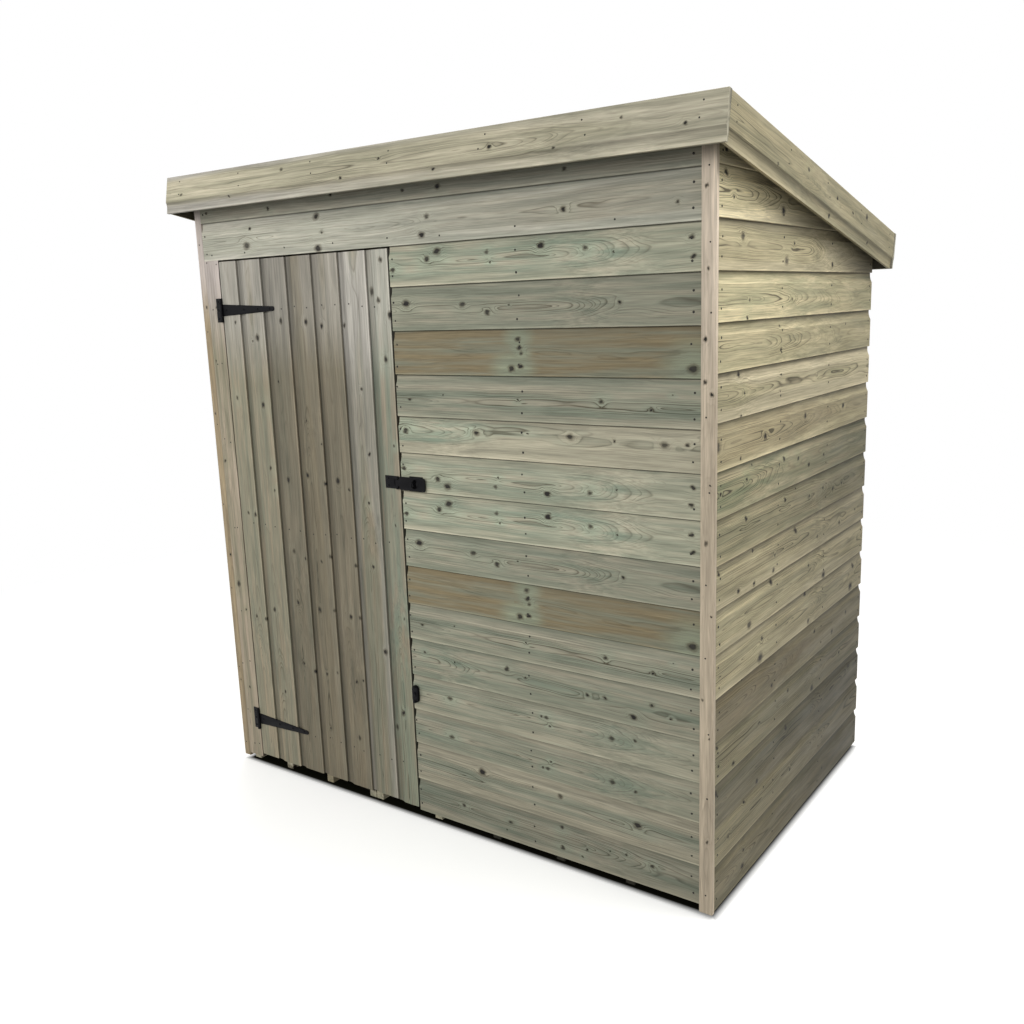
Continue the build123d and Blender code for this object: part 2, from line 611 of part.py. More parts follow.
def turn_button():
    """A short bar with a finger ridge, turned across the door's edge to hold it."""
    back = FRONT_Y - BUTTON_WASHER_THICKNESS - BUTTON_CLEARANCE
    place = Plane(origin=(BUTTON_X, back, BUTTON_HEIGHT), x_dir=(1, 0, 0), z_dir=(0, -1, 0))
    bar = extrude(place * SlotOverall(BUTTON_LENGTH, BUTTON_WIDTH, rotation=90), amount=BUTTON_THICKNESS)
    ridge_length = BUTTON_LENGTH - BUTTON_WIDTH
    ridge_front = Plane(
        origin=(BUTTON_X, back - BUTTON_THICKNESS, BUTTON_HEIGHT), x_dir=(1, 0, 0), z_dir=(0, -1, 0)
    )
    ridge_offset = (BUTTON_LENGTH - BUTTON_RIDGE_WIDTH) / 2
    for side in (-ridge_offset, ridge_offset):
        foot = Pos(0, side) * SlotOverall(BUTTON_WIDTH / 2, BUTTON_RIDGE_WIDTH)
        bar += extrude(ridge_front * foot, amount=BUTTON_RIDGE)
    bore = BUTTON_SHANK_RADIUS + BUTTON_CLEARANCE
    return bar - forward_bar(bore, BUTTON_X, BUTTON_HEIGHT, back - ridge_length, FRONT_Y)


def turn_button_screw():
    """The button's screw: washer on the wall, shank, and head in front of the bar."""
    washer_front = FRONT_Y - BUTTON_WASHER_THICKNESS
    head_back = washer_front - BUTTON_THICKNESS - 2 * BUTTON_CLEARANCE
    screw = forward_bar(BUTTON_WASHER_RADIUS, BUTTON_X, BUTTON_HEIGHT, washer_front, FRONT_Y)
    screw += forward_bar(BUTTON_SHANK_RADIUS, BUTTON_X, BUTTON_HEIGHT, head_back, washer_front)
    screw += forward_bar(
        BUTTON_HEAD_RADIUS, BUTTON_X, BUTTON_HEIGHT, head_back - BUTTON_HEAD_HEIGHT, head_back
    )
    return screw


def mirrored(shape):
    """The same piece on the other side of the shed."""
    return mirror(shape, about=Plane.YZ)


def build():
    """Every piece by its node name."""
    nodes = {}
    nodes["floor_bearers"], nodes["floor_deck"] = floor()
    nodes["front_wall_cladding"], nodes["front_header_cladding"] = front_cladding()
    nodes["left_jamb_board"] = left_jamb_board()
    nodes["right_corner_strip"] = right_corner_strip()
    nodes["left_corner_strip"] = left_corner_strip()
    nodes["right_wall_cladding"] = right_cladding()
    left_boards = mirrored(nodes["right_wall_cladding"])
    nodes["left_wall_cladding"] = left_boards - nodes["left_corner_strip"]
    nodes["back_wall_cladding"] = back_cladding()
    nodes["front_wall_studs"], nodes["front_wall_rails"] = front_frame()
    nodes["right_wall_studs"], nodes["right_wall_rails"] = right_frame()
    nodes["left_wall_studs"] = mirrored(nodes["right_wall_studs"])
    nodes["left_wall_rails"] = mirrored(nodes["right_wall_rails"])
    nodes["back_wall_studs"], nodes["back_wall_rails"] = back_frame()
    nodes["roof_edge_battens"], nodes["roof_purlins"] = roof_battens()
    nodes["roof_deck"], nodes["roof_felt"] = roof_deck()
    names = ("front_fascia", "back_fascia", "left_fascia", "right_fascia")
    nodes.update(zip(names, fascias()))
    nodes["upper_hinge_plate"] = hinge_plate(UPPER_HINGE_HEIGHT)
    nodes["lower_hinge_plate"] = hinge_plate(LOWER_HINGE_HEIGHT)
    nodes["hasp_staple"] = hasp_staple()
    nodes["turn_button_screw"] = turn_button_screw()
    nodes["door_boards"] = door_boards()
    nodes["door_top_ledge"] = ledge(UPPER_HINGE_HEIGHT)
    nodes["door_middle_ledge"] = ledge(MIDDLE_LEDGE_HEIGHT)
    nodes["door_bottom_ledge"] = ledge(LOWER_HINGE_HEIGHT)
    nodes["door_upper_brace"] = brace(MIDDLE_LEDGE_HEIGHT, UPPER_HINGE_HEIGHT)
    nodes["door_lower_brace"] = brace(LOWER_HINGE_HEIGHT, MIDDLE_LEDGE_HEIGHT)
    nodes["upper_hinge_strap"] = hinge_strap(UPPER_HINGE_HEIGHT)
    nodes["lower_hinge_strap"] = hinge_strap(LOWER_HINGE_HEIGHT)
    nodes["hasp_hinge_plate"] = hasp_hinge_plate()
    nodes["hasp_strap"] = hasp_strap()
    nodes["turn_button"] = turn_button()
    return nodes


os.makedirs("parts", exist_ok=True)
for node, shape in build().items():
    export_step(shape, f"parts/{node}.step")
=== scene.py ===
"""Dresses a pent-roof garden shed: lapped boards, trim, felt, ironwork and nails, and a plain stage."""

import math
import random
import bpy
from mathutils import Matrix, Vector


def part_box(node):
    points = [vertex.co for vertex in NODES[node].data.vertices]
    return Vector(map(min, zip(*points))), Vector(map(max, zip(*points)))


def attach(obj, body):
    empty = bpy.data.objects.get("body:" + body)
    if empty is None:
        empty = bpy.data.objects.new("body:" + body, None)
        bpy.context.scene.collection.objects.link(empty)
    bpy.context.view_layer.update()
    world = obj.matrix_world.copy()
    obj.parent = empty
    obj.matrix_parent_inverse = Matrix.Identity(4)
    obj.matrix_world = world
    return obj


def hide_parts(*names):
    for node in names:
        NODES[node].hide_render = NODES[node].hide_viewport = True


bl_info = {
    "name": "Pent-Roof Garden Shed",
    "version": (1, 0, 0),
    "blender": (4, 5, 0),
    "location": "3D View > Sidebar > Shed",
    "description": "Builds the shed's boards, felt, ironwork and nails round its solids, and a plain stage",
    "category": "Object",
}

from functools import partial
from typing import NamedTuple

import bmesh
import bpy
from bpy.props import FloatProperty, FloatVectorProperty, PointerProperty
from bpy.types import Operator, Panel, PropertyGroup
from mathutils import Matrix, Vector

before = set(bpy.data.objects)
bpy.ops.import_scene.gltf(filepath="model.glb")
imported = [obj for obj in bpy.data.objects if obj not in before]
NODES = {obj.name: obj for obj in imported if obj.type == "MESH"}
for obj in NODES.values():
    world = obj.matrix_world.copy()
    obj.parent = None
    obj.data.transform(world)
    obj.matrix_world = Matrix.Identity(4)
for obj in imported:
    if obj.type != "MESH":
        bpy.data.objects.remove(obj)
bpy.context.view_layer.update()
MM = 0.001
RIGHT, LEFT = Vector((1, 0, 0)), Vector((-1, 0, 0))
BACK, FRONT = Vector((0, 1, 0)), Vector((0, -1, 0))
UP, DOWN = Vector((0, 0, 1)), Vector((0, 0, -1))


def span(points):
    """Lowest and highest corner of a set of points."""
    return [Vector(pick(p[i] for p in points) for i in range(3)) for pick in (min, max)]


# The roof panel's own frame: X across, Y down the slope from the front edge, Z square to the deck
ROOF_SLOPE = math.radians(10.8)
ROOF_EDGE = max((v.co for v in NODES["front_fascia"].data.vertices), key=lambda co: co.z)
ROOF = Matrix.Translation((0, ROOF_EDGE.y, ROOF_EDGE.z)) @ Matrix.Rotation(-ROOF_SLOPE, 4, "X")
TO_ROOF = ROOF.inverted()


def roof_box(name):
    """Lowest and highest corner of a node in the roof's frame."""
    return span([TO_ROOF @ v.co for v in NODES[name].data.vertices])


# Level of the roof boards' underside in the roof's frame, and its place over the front edge
DECK_LEVEL = roof_box("roof_deck")[0].z
DECK_EDGE = ROOF @ Vector((0, 0, DECK_LEVEL))

# Heights of the seams between boards, in millimetres from the ground, lowest board first
FRONT_SEAMS = (25, 134, 255, 366, 479, 594, 706, 822, 935, 1050, 1164, 1270, 1390, 1513, 1635, 1747)
HEADER_SEAMS = (1747, 1866, 1984)
SIDE_SEAMS = (
    18, 143, 255, 370, 485, 600, 715, 828, 940, 1055, 1170, 1286, 1402, 1518, 1635, 1752, 1868, 1984
)
BOARD_COVER = 114.8
BACK_SEAMS = tuple(FRONT_SEAMS[0] + round(BOARD_COVER * n) for n in range(17))
# Door seams in millimetres from the closing edge, and how far each board's foot stops short of the longest
DOOR_SEAMS = (0, 87, 199, 311, 423, 535, 647, 759)
DOOR_FEET = (0.0, 5.0, 3.5, 6.0, 4.5, 3.0, 5.0)

# Lightness of wood against its clean face: the backs painted in shade, a painted shadow line at each seam,
# sides painted in deep shade, edges a little paler than the face, and a side painted as lit
BACK_SHADE = 0.7
SEAM = 0.36
SHADED = 0.25
EDGE = 1.2
LIT_SIDE = 1.45
# Lightness at the bottom of a board's scoop: painted shade, deepest on the door
HOLLOW_SHADE = {"cladding": 0.86, "header": 0.86, "side_cladding": 0.74, "door": 0.6}
# Power of a scoop's curve, and the middle of an eased edge as a share of its size
SCOOP_CURVE = 2.2
EASED = 0.3
# Spacing of points along a board, in metres
BOARD_STEP = 0.05
# Length of the upper sheet of felt down to its lap, in metres
UPPER_FELT = 0.62
# How far the fascia boards stay inside their solids, so that nail heads don't pass the shed's box
FASCIA_INSET = 0.7 * MM
# Heights of nail heads over the wood, and over the felt
WALL_NAIL = 0.8 * MM
TRIM_NAIL = 0.7 * MM
FELT_NAIL = 1.0 * MM


class Board(NamedTuple):
    """What one board shows: its log's seed and tone, where the saw crossed the rings, and its knots.

    Lengths are millimetres: along the wall, and up from the board's lower edge. Knots are place, height and
    radius. Between the two ends of loops the log leans, and its rings show as arches that point along the
    board. A board with brown below zero has pale sapwood beyond the heart instead of brown heartwood in it.
    Fade gives two places along the board, its lightness there, mostly painted light and shade, and how much
    less brown it is at the second.
    """

    seed: int
    knots: tuple = None
    turned: bool = False
    brown: float = -0.5
    green: float = 0.5
    light: float = 1.0
    heart: float = 40.0
    centre: float = 58.0
    depth: float = 10.0
    lean: float = 0.08
    loops: tuple = (0, 300)
    fade: tuple = (0, 1, 1.0, 1.0, 0.0)


# Some front boards were cut next to each other from one log, so they show the same knots
FOOT_KNOTS = (
    (90, 65, 7), (250, 30, 3), (265, 60, 6), (440, 92, 6), (445, 32, 7), (510, 25, 3), (525, 51, 4),
    (600, 70, 3), (650, 75, 4), (730, 65, 6),
)
ARCH_KNOTS = ((55, 62, 7), (385, 77, 4), (402, 77, 6), (410, 54, 4), (610, 63, 8), (680, 73, 5))
BLUE_KNOTS = (
    (-35, 78, 5), (80, 67, 3), (270, 82, 7), (335, 69, 4), (535, 59, 6), (590, 62, 6), (675, 25, 10),
    (730, 69, 5), (785, 44, 4),
)
FINE_KNOTS = ((-38, 50, 5), (85, 67, 3), (340, 58, 4), (595, 60, 7), (733, 43, 6), (790, 80, 3))
WHORL_KNOTS = ((345, 97, 8), (350, 74, 7), (355, 60, 6), (352, 25, 8), (322, 20, 11), (845, 22, 14))
LOOP_KNOTS = ((-33, 75, 12), (167, 67, 9), (250, 45, 9), (320, 62, 3), (650, 59, 6))
MINT_KNOTS = (
    (-75, 47, 8), (50, 71, 9), (85, 89, 12), (255, 77, 6), (265, 51, 4), (425, 84, 10), (555, 70, 7),
    (635, 57, 3), (840, 78, 7), (845, 35, 7),
)
SAP_KNOTS = (
    (-60, 65, 10), (197, 69, 10), (367, 74, 3), (500, 72, 10), (630, 68, 4), (770, 64, 10), (830, 68, 6),
)
ROSY_KNOTS = ((165, 84, 12), (440, 81, 8), (685, 63, 12))

# Painted light and shade: the front is a little lighter towards the door, and the right wall darker towards
# the back
LIT_LEFT = (-88, 870, 1.05, 0.95, 0.0)
MORE_LIT_LEFT = (-88, 870, 1.09, 0.91, 0.0)
SHADED_BACK = (-600, 400, 1.4, 0.84, 0.0)
DEEPER_SHADE_BACK = (-600, 400, 1.5, 0.67, 0.0)
DEEPEST_SHADE_BACK = (-600, 400, 1.5, 0.56, 0.0)
# What boards from the same log share
ARCHES = {"loops": (450, 850), "lean": 0.09}
FINE = {"brown": -0.2, "centre": 50, "lean": 0.01}
WHORL = {"brown": 1.0, "green": 0.75, "heart": 120, "depth": 40, "lean": 0.02, "fade": LIT_LEFT}
LOOPS = {"loops": (380, 720), "lean": 0.09, "fade": MORE_LIT_LEFT}
MINT = {"centre": 65, "loops": (380, 850)}
# Wall boards from the ground up, darker near the ground: partly their own tone, partly painted shade
FRONT_BOARDS = (
    Board(110, FOOT_KNOTS, green=0.6, light=0.62, loops=(420, 850), lean=0.05, fade=LIT_LEFT),
    Board(111, ROSY_KNOTS, brown=-0.9, light=0.77, heart=30, lean=0.02, fade=LIT_LEFT),
    Board(113, ARCH_KNOTS, turned=True, green=0.75, light=0.75, **ARCHES),
    Board(113, ARCH_KNOTS, green=0.65, light=0.84, **ARCHES),
    Board(114, BLUE_KNOTS, brown=-0.35, green=0.85, light=0.76, heart=34, loops=(-60, 250),
          fade=MORE_LIT_LEFT),
    Board(115, FINE_KNOTS, green=0.55, light=0.83, **FINE),
    Board(116, WHORL_KNOTS, light=1.0, **WHORL),
    Board(117, LOOP_KNOTS, brown=-0.25, green=0.6, light=0.83, **LOOPS),
    Board(118, MINT_KNOTS, green=0.85, light=1.11, **MINT),
    Board(118, MINT_KNOTS, turned=True, green=0.7, light=1.09, **MINT),
    Board(120, SAP_KNOTS, brown=-0.9, green=0.9, light=1.08, heart=36, centre=70, loops=(-60, 300),
          fade=MORE_LIT_LEFT),
    Board(115, FINE_KNOTS, green=0.6, light=0.81, **FINE),
    Board(116, WHORL_KNOTS, light=0.97, **WHORL),
    Board(117, LOOP_KNOTS, brown=-0.1, green=0.45, light=0.79, **LOOPS),
    Board(118, MINT_KNOTS, green=0.85, light=1.08, **MINT),
)
# The lower header board is painted lighter and creamier towards the left: painted sheen
HEADER_BOARDS = (
    Board(131, ((-680, 38, 13), (-660, 88, 6), (-370, 103, 12), (-345, 56, 5), (-365, 11, 13), (35, 23, 11),
                (57, 70, 8), (495, 54, 9), (805, 45, 6)),
          brown=-0.3, green=0.2, light=1.13, lean=0.02, loops=(-300, 200),
          fade=(-900, 700, 1.06, 0.9, -0.65)),
    Board(132, ((-860, 30, 6), (-570, 22, 6), (-300, 40, 6), (-25, 26, 6), (100, 25, 8), (500, 30, 6)),
          brown=0.3, green=0.3, light=0.92, heart=90, lean=0.02),
)
# Painted shade: the right wall's boards grow darker towards the ground
RIGHT_BOARDS = (
    Board(210, ((-415, 37, 9), (-410, 80, 6), (240, 50, 5)),
          brown=0.15, green=0.15, light=0.42, heart=60, loops=(-600, -200), fade=DEEPEST_SHADE_BACK),
    Board(211, ((-515, 47, 6), (-400, 92, 6), (-270, 82, 4), (-60, 47, 6), (230, 40, 4)),
          green=0.2, light=0.57, fade=DEEPEST_SHADE_BACK),
    Board(212, ((-590, 90, 8), (-320, 8, 9), (-100, 80, 7), (490, 80, 8)),
          brown=-0.3, green=0.3, light=0.32, fade=DEEPER_SHADE_BACK),
    Board(213, ((-580, 95, 6), (-580, 45, 6), (-485, 15, 8), (-310, 60, 5), (-90, 80, 7), (120, 15, 12),
                (380, 50, 6)),
          brown=0.2, green=0.3, light=0.57, heart=60, fade=DEEPER_SHADE_BACK),
    Board(214, ((-420, 110, 6), (-220, 25, 8), (130, 80, 8), (300, 30, 9), (440, 55, 7)),
          brown=0.8, green=0.1, light=0.63, heart=60, loops=(-600, 300), lean=0.06, fade=DEEPER_SHADE_BACK),
    Board(215, ((-310, 20, 16), (-300, 70, 8), (50, 105, 10), (70, 15, 9), (480, 20, 17), (500, 85, 10)),
          green=0.2, light=0.91, fade=SHADED_BACK),
    Board(216, ((-390, 20, 12), (-230, 95, 10), (60, 75, 6), (200, 12, 13)),
          green=0.2, light=1.04, fade=SHADED_BACK),
    Board(217, ((-580, 90, 7), (-465, 18, 9), (-360, 12, 8), (-360, 100, 6), (-225, 16, 8), (-215, 55, 5),
                (-50, 90, 10), (130, 35, 6), (340, 37, 8), (500, 50, 5)),
          green=0.2, light=0.9, fade=SHADED_BACK),
    Board(218, ((-420, 85, 8), (-145, 83, 8), (-50, 100, 4), (50, 60, 6), (170, 65, 6), (265, 45, 8),
                (350, 50, 6)),
          brown=0.1, green=0.4, light=0.81, fade=DEEPER_SHADE_BACK),
    Board(219, ((-580, 60, 6), (-420, 70, 6), (-375, 100, 4), (-160, 85, 8), (-50, 70, 7), (40, 40, 8),
                (170, 50, 6)),
          brown=-0.3, green=0.9, light=0.81, loops=(-600, 0), lean=0.07, fade=DEEPER_SHADE_BACK),
    Board(220, ((-600, 60, 18), (-460, 15, 6), (-300, 50, 10), (0, 70, 9), (340, 65, 10)),
          brown=0.6, green=0.05, light=1.26, heart=50, loops=(-600, 500), lean=0.04, depth=6,
          fade=SHADED_BACK),
    Board(221, ((-465, 104, 9), (-460, 3, 5), (-440, 58, 5), (-200, 85, 4), (-200, 40, 4), (90, 60, 4)),
          brown=-0.8, green=0.3, light=1.32, heart=34, loops=(-600, -300)),
    Board(222, ((-205, 95, 4), (-200, 33, 6), (340, 80, 4)),
          brown=0.15, green=0.25, light=1.28, loops=(-500, 500), lean=0.06, fade=SHADED_BACK),
    Board(243, ((-430, 6, 6), (-415, 49, 5), (-125, 47, 5)),
          brown=-0.05, green=0.4, light=1.41, centre=52, loops=(-600, 600), lean=0.05, depth=4,
          fade=SHADED_BACK),
    # Painted shadow of the side fascia: the two boards under it darken towards the back
    Board(224, ((-460, 77, 10), (-170, 27, 13), (-115, 73, 6), (200, 20, 8)),
          green=0.15, light=1.34, loops=(-200, 500), fade=(50, 550, 1.0, 0.38, 0.0)),
    Board(225, ((-515, 48, 6), (-550, 100, 10), (-200, 33, 13)),
          green=0.1, light=1.49, loops=(-600, -100), lean=0.05, fade=(-600, 150, 1.5, 0.62, 0.0)),
    Board(226, ((-560, 30, 8), (-300, 60, 6)), green=0.15, light=1.32),
)
# The door boards are paler and greyer above their top row of knots: partly their own tone, partly painted
# sheen
PALE_TOP = (1290, 1600, 1.0, 1.42, 0.9)
MINT_TOP = (1290, 1600, 1.0, 1.46, 0.65)
LESS_PALE_TOP = (1290, 1600, 1.0, 1.12, 0.9)
FAINT_PALE_TOP = (1290, 1600, 1.0, 0.97, 0.9)
# Door boards stand upright, from the closing edge leftwards: knots are height from the ground and distance
# from the edge nearer to the closing side
DOOR_BOARDS = (
    Board(310, ((1712, 26, 8), (1600, 43, 8), (1625, 70, 11), (1558, 2, 11), (1432, 28, 9), (1180, 16, 4),
                (940, 28, 4), (650, 16, 4), (340, 41, 8), (283, 76, 8)),
          brown=-0.1, green=0.75, light=0.89, centre=40, loops=(300, 900), fade=MINT_TOP),
    Board(311, ((1532, 104, 7), (1345, 44, 6), (1150, 29, 6), (1000, 44, 5), (800, 44, 6), (530, 14, 10)),
          green=0.35, light=0.87, loops=(600, 1200), lean=0.05, fade=PALE_TOP),
    Board(312, ((1533, 82, 8), (1060, 57, 10), (1035, 12, 5), (795, 7, 6), (622, 42, 8), (625, 4, 6),
                (405, 37, 6), (415, 8, 5), (210, 42, 8)),
          brown=0.25, green=0.1, light=0.71, loops=(100, 800), lean=0.05, fade=PALE_TOP),
    Board(313, ((1545, 35, 9), (1240, 65, 4), (1170, 5, 4), (1068, 80, 9), (1045, 3, 7), (810, 3, 7),
                (790, 45, 5), (625, 70, 8), (632, 5, 6), (405, 60, 6), (420, 10, 5), (215, 60, 6)),
          brown=0.3, green=0.1, light=0.75, loops=(900, 1500), lean=0.05, fade=LESS_PALE_TOP),
    Board(314, ((1550, 33, 8), (1360, 68, 4), (1047, 58, 9), (810, 58, 8), (790, 8, 5), (635, 58, 8),
                (425, 53, 6), (405, 3, 7)),
          brown=0.2, green=0.15, light=0.69, loops=(200, 1000), lean=0.05, fade=LESS_PALE_TOP),
    Board(315, ((1500, 36, 10), (1490, 59, 4), (1285, 36, 9), (1080, 26, 7), (1005, 16, 5), (593, 66, 7),
                (300, 46, 5)),
          brown=0.1, green=0.3, light=0.96, loops=(100, 700), lean=0.06, fade=FAINT_PALE_TOP),
    Board(316, ((1550, 24, 6), (1305, 49, 6), (920, 44, 6), (915, 9, 7), (555, 49, 6), (550, 4, 6)),
          brown=0.1, green=0.3, light=1.05, centre=30, loops=(100, 900), lean=0.05, fade=FAINT_PALE_TOP),
)
# Trim by its node: piece, finish, painted lightness of its far side, lit or in shade, and board
# Each grows lighter and pinker towards its top: partly paler wood, partly painted light under the fascia
TRIM_GRAIN = {"heart": 60, "centre": 20, "depth": 30, "lean": 0.02, "loops": (0, 2000)}
TRIM = {
    "right_corner_strip": (
        "right_corner_cover_strip", "trim", LIT_SIDE,
        Board(400, ((1482, 10, 6), (1383, 12, 6), (1355, 27, 6), (1640, 18, 4), (1000, 15, 6), (1140, 24, 3),
                    (820, 30, 3), (600, 8, 4), (500, 25, 3), (218, 22, 5), (1820, 12, 5)),
              brown=0.15, green=0.05, light=0.99, fade=(1050, 1600, 1.0, 1.22, 0.35), **TRIM_GRAIN),
    ),
    "left_corner_strip": (
        "left_corner_cover_strip", "browner_trim", 1.0,
        Board(401, ((300, 14, 4), (760, 22, 5), (1250, 12, 4), (1600, 20, 5)),
              brown=0.1, green=0.0, light=0.78, fade=(1500, 1720, 1.0, 1.28, 1.05), **TRIM_GRAIN),
    ),
    "left_jamb_board": (
        "left_jamb_plank", "trim", SHADED,
        Board(402, ((1600, 40, 5), (1425, 12, 4), (1090, 12, 6), (660, 22, 10), (570, 48, 4), (280, 30, 5)),
              brown=0.15, green=0.5, light=0.74, fade=(1350, 1720, 1.0, 1.42, 1.15), **TRIM_GRAIN),
    ),
}
# Fascias by their node: the way they face, finish and board
# The fascias grow lighter and creamier towards the left on the front and back, and towards the front on the
# sides: painted sheen
FASCIA_GRAIN = {
    "brown": -0.9, "green": 0.25, "centre": 50, "depth": 12, "lean": 0.05, "loops": (200, 900),
    "fade": (-950, 600, 1.05, 1.0, -0.7),
}
FASCIAS = {
    "front_fascia": (
        FRONT, "fascia",
        Board(510, ((-880, 60, 5), (-650, 84, 4), (-420, 30, 6), (-180, 78, 5), (-40, 40, 4), (150, 88, 5),
                    (330, 52, 6), (520, 76, 4), (700, 30, 5), (860, 64, 5)), **FASCIA_GRAIN),
    ),
    "back_fascia": (BACK, "fascia", Board(511, **FASCIA_GRAIN)),
    "right_fascia": (
        RIGHT, "side_fascia",
        Board(512, ((310, 74, 5), (520, 30, 6), (720, 96, 8), (760, 40, 7), (905, 44, 6), (1040, 24, 10),
                    (1080, 90, 5)), light=0.88, **FASCIA_GRAIN),
    ),
    "left_fascia": (LEFT, "side_fascia", Board(513, light=0.88, **FASCIA_GRAIN)),
}
# Radii in millimetres of the knots in boards that the photo doesn't show
KNOT_SIZES = (3, 4, 5, 6, 7, 8, 9, 12)
# Stands for a missing knot: too far off and too small to show
NO_KNOT = (0.0, 9.0, 0.0001)


def linear(hex_colour):
    """A hex sRGB colour as linear red, green, blue and alpha."""
    shares = [int(hex_colour[n : n + 2], 16) / 255 for n in (1, 3, 5)]
    return [s / 12.92 if s <= 0.04045 else ((s + 0.055) / 1.055) ** 2.4 for s in shares] + [1.0]


def colour(name, description, hex_colour):
    """A colour setting, kept in linear light."""
    return FloatVectorProperty(
        name=name, description=description, default=linear(hex_colour), size=4, min=0, max=1, subtype="COLOR"
    )


def size(name, description, millimetres):
    """A length setting, kept in metres."""
    return FloatProperty(name=name, description=description, default=millimetres * MM, min=0, unit="LENGTH")


def level(name, description, default, unit="NONE"):
    """A lamp's, the sky's or the lens's setting."""
    return FloatProperty(name=name, description=description, default=default, min=0, unit=unit)


class ShedTimber(PropertyGroup):
    """Sizes of the boards."""

    thickness: size("Board thickness", "Thickness of wall, door and fascia boards", 15)
    scoop_height: size("Scoop height", "Height of the hollow at a board's upper edge", 26)
    scoop_depth: size("Scoop depth", "Depth of that hollow below the face", 6.5)
    tongue: size("Tongue", "Flat above the hollow that shows under the next board", 4)
    lap: size("Lap", "How far the tongue goes behind the next board", 8)
    arris: size("Arris", "Rounding of the boards' edges", 1.2)
    fascia_flat: size("Fascia flat", "Flat part of a fascia board above its hollow", 78)
    fascia_scoop: size("Fascia scoop", "Height of the hollow along a fascia's lower edge", 24)
    floor_cover: size("Floor board cover", "Width of a floor board", 98)
    deck_boards: size("Roof board cover", "Width of a roof board", 94.1)
    felt_thickness: size("Felt thickness", "Thickness of one sheet of roofing felt", 2.6)
    felt_lap: size("Felt lap", "How far the upper sheet of felt lies over the lower one", 75)
    ring: size("Ring width", "Growth ring, drawn wider than real to show from the photo's distance", 3.4)


class ShedColours(PropertyGroup):
    """Colours of the timber, felt and metal."""

    cladding: colour("Cladding", "Treated softwood between the rings", "#9C9885")
    # Paler and greyer than the cladding: partly the boards' own tone, partly painted sheen
    header: colour("Header", "Softwood of the bleached boards over the doorway", "#A5A294")
    # The side colours are the cladding's in warmer, more khaki light: painted warm light
    side: colour("Side cladding", "Treated softwood of the sunnier sides", "#9F9577")
    door: colour("Door", "Door boards between the rings", "#857C69")
    trim: colour("Trim", "Planed strips and plank between the rings", "#B3A591")
    fascia: colour("Fascia", "Fascia boards between the rings", "#AAA38D")
    framing: colour("Framing", "Sawn framing between the rings", "#A8977A")
    floor: colour("Floor boards", "Sawn floor and bearers between the rings", "#9A937D")
    latewood: colour("Latewood", "Dark line of each growth ring", "#464031")
    heartwood: colour("Heartwood", "Brown wood near the pith", "#756A51")
    treatment: colour("Treatment", "Blue-green of the copper treatment in the sapwood", "#8B9B87")
    # Olive of the sides: painted warm light, as for the side cladding
    side_treatment: colour("Side treatment", "Olive of the copper treatment on the sunnier sides", "#848B6B")
    sapwood: colour("Sapwood", "Pale wood at the outside of the log", "#A6A08B")
    # Pale wood of the sides: painted warm light, as for the side cladding
    side_sapwood: colour("Side sapwood", "Pale wood of the sunnier sides", "#ACA287")
    door_sapwood: colour("Door sapwood", "Pale wood of the door boards", "#A29E95")
    trim_sapwood: colour("Trim sapwood", "Pale pinkish wood at the top of the strips and plank", "#B3A9A2")
    knot: colour("Knot", "Middle of a knot", "#16130F")
    knot_rim: colour("Knot rim", "Dark wood round a knot", "#4C4434")
    felt: colour("Felt", "Mineral grit of the roofing felt", "#3F4341")
    ironwork: colour("Ironwork", "Black paint of hinges, hasp and button", "#070709")
    nail: colour("Nail", "Dulled wire nail", "#221F1A")


class ShedStage(PropertyGroup):
    """Light, floor and camera."""

    floor: colour("Floor", "Pale studio floor", "#F6F6F4")
    # Painted shade on the floor under the shed
    shade: colour("Shade", "The floor under the shed, where no light comes", "#15150F")
    key_strength: level("Key light", "Strength of the soft light over the front", 1.37)
    fill_strength: level("Front fill", "Strength of the low light that reaches under the roof's edge", 0.65)
    back_strength: level("Back light", "Strength of the soft light on the left and back walls", 1.1)
    side_power: level("Side softbox", "Power of the lamp high on the right", 47, "POWER")
    left_power: level("Left softbox", "Power of the lamp in front on the left", 13, "POWER")
    sky: level("Sky", "Strength of the soft light from all round", 0.38)
    lens: level("Lens", "Focal length on a 36 mm sensor", 35.16, "CAMERA")


def plug(tree, made, inputs):
    """Sets a node's inputs, by name or in order, or links them to a node's first output or to an output."""
    shown = [s for s in made.inputs if s.enabled]
    for place, value in inputs.items() if isinstance(inputs, dict) else enumerate(inputs):
        socket = shown[place] if isinstance(place, int) else next(s for s in shown if s.name == place)
        if isinstance(value, bpy.types.Node):
            value = next(s for s in value.outputs if s.enabled)
        if isinstance(value, bpy.types.NodeSocket):
            tree.links.new(value, socket)
        else:
            socket.default_value = value


def node(tree, kind, inputs=(), **settings):
    """Adds a shader node with its settings, and sets or links its inputs."""
    made = tree.nodes.new("ShaderNode" + kind)
    for name, value in settings.items():
        setattr(made, name, value)
    plug(tree, made, inputs)
    return made


def new_material(name):
    """An empty node material, its shader, and what adds and joins its nodes."""
    material = bpy.data.materials.new(name)
    material.use_nodes = True
    tree = material.node_tree
    return material, tree.nodes["Principled BSDF"], partial(node, tree), partial(plug, tree)


def shared(name, make, *how):
    """A material made once and used again."""
    return bpy.data.materials.get(name) or make(name, *how)


def every(along, across):
    """Scale of a pattern that changes about every so many millimetres along and across the grain."""
    return 1 / (along * MM), 1 / (across * MM), 1 / (across * MM)


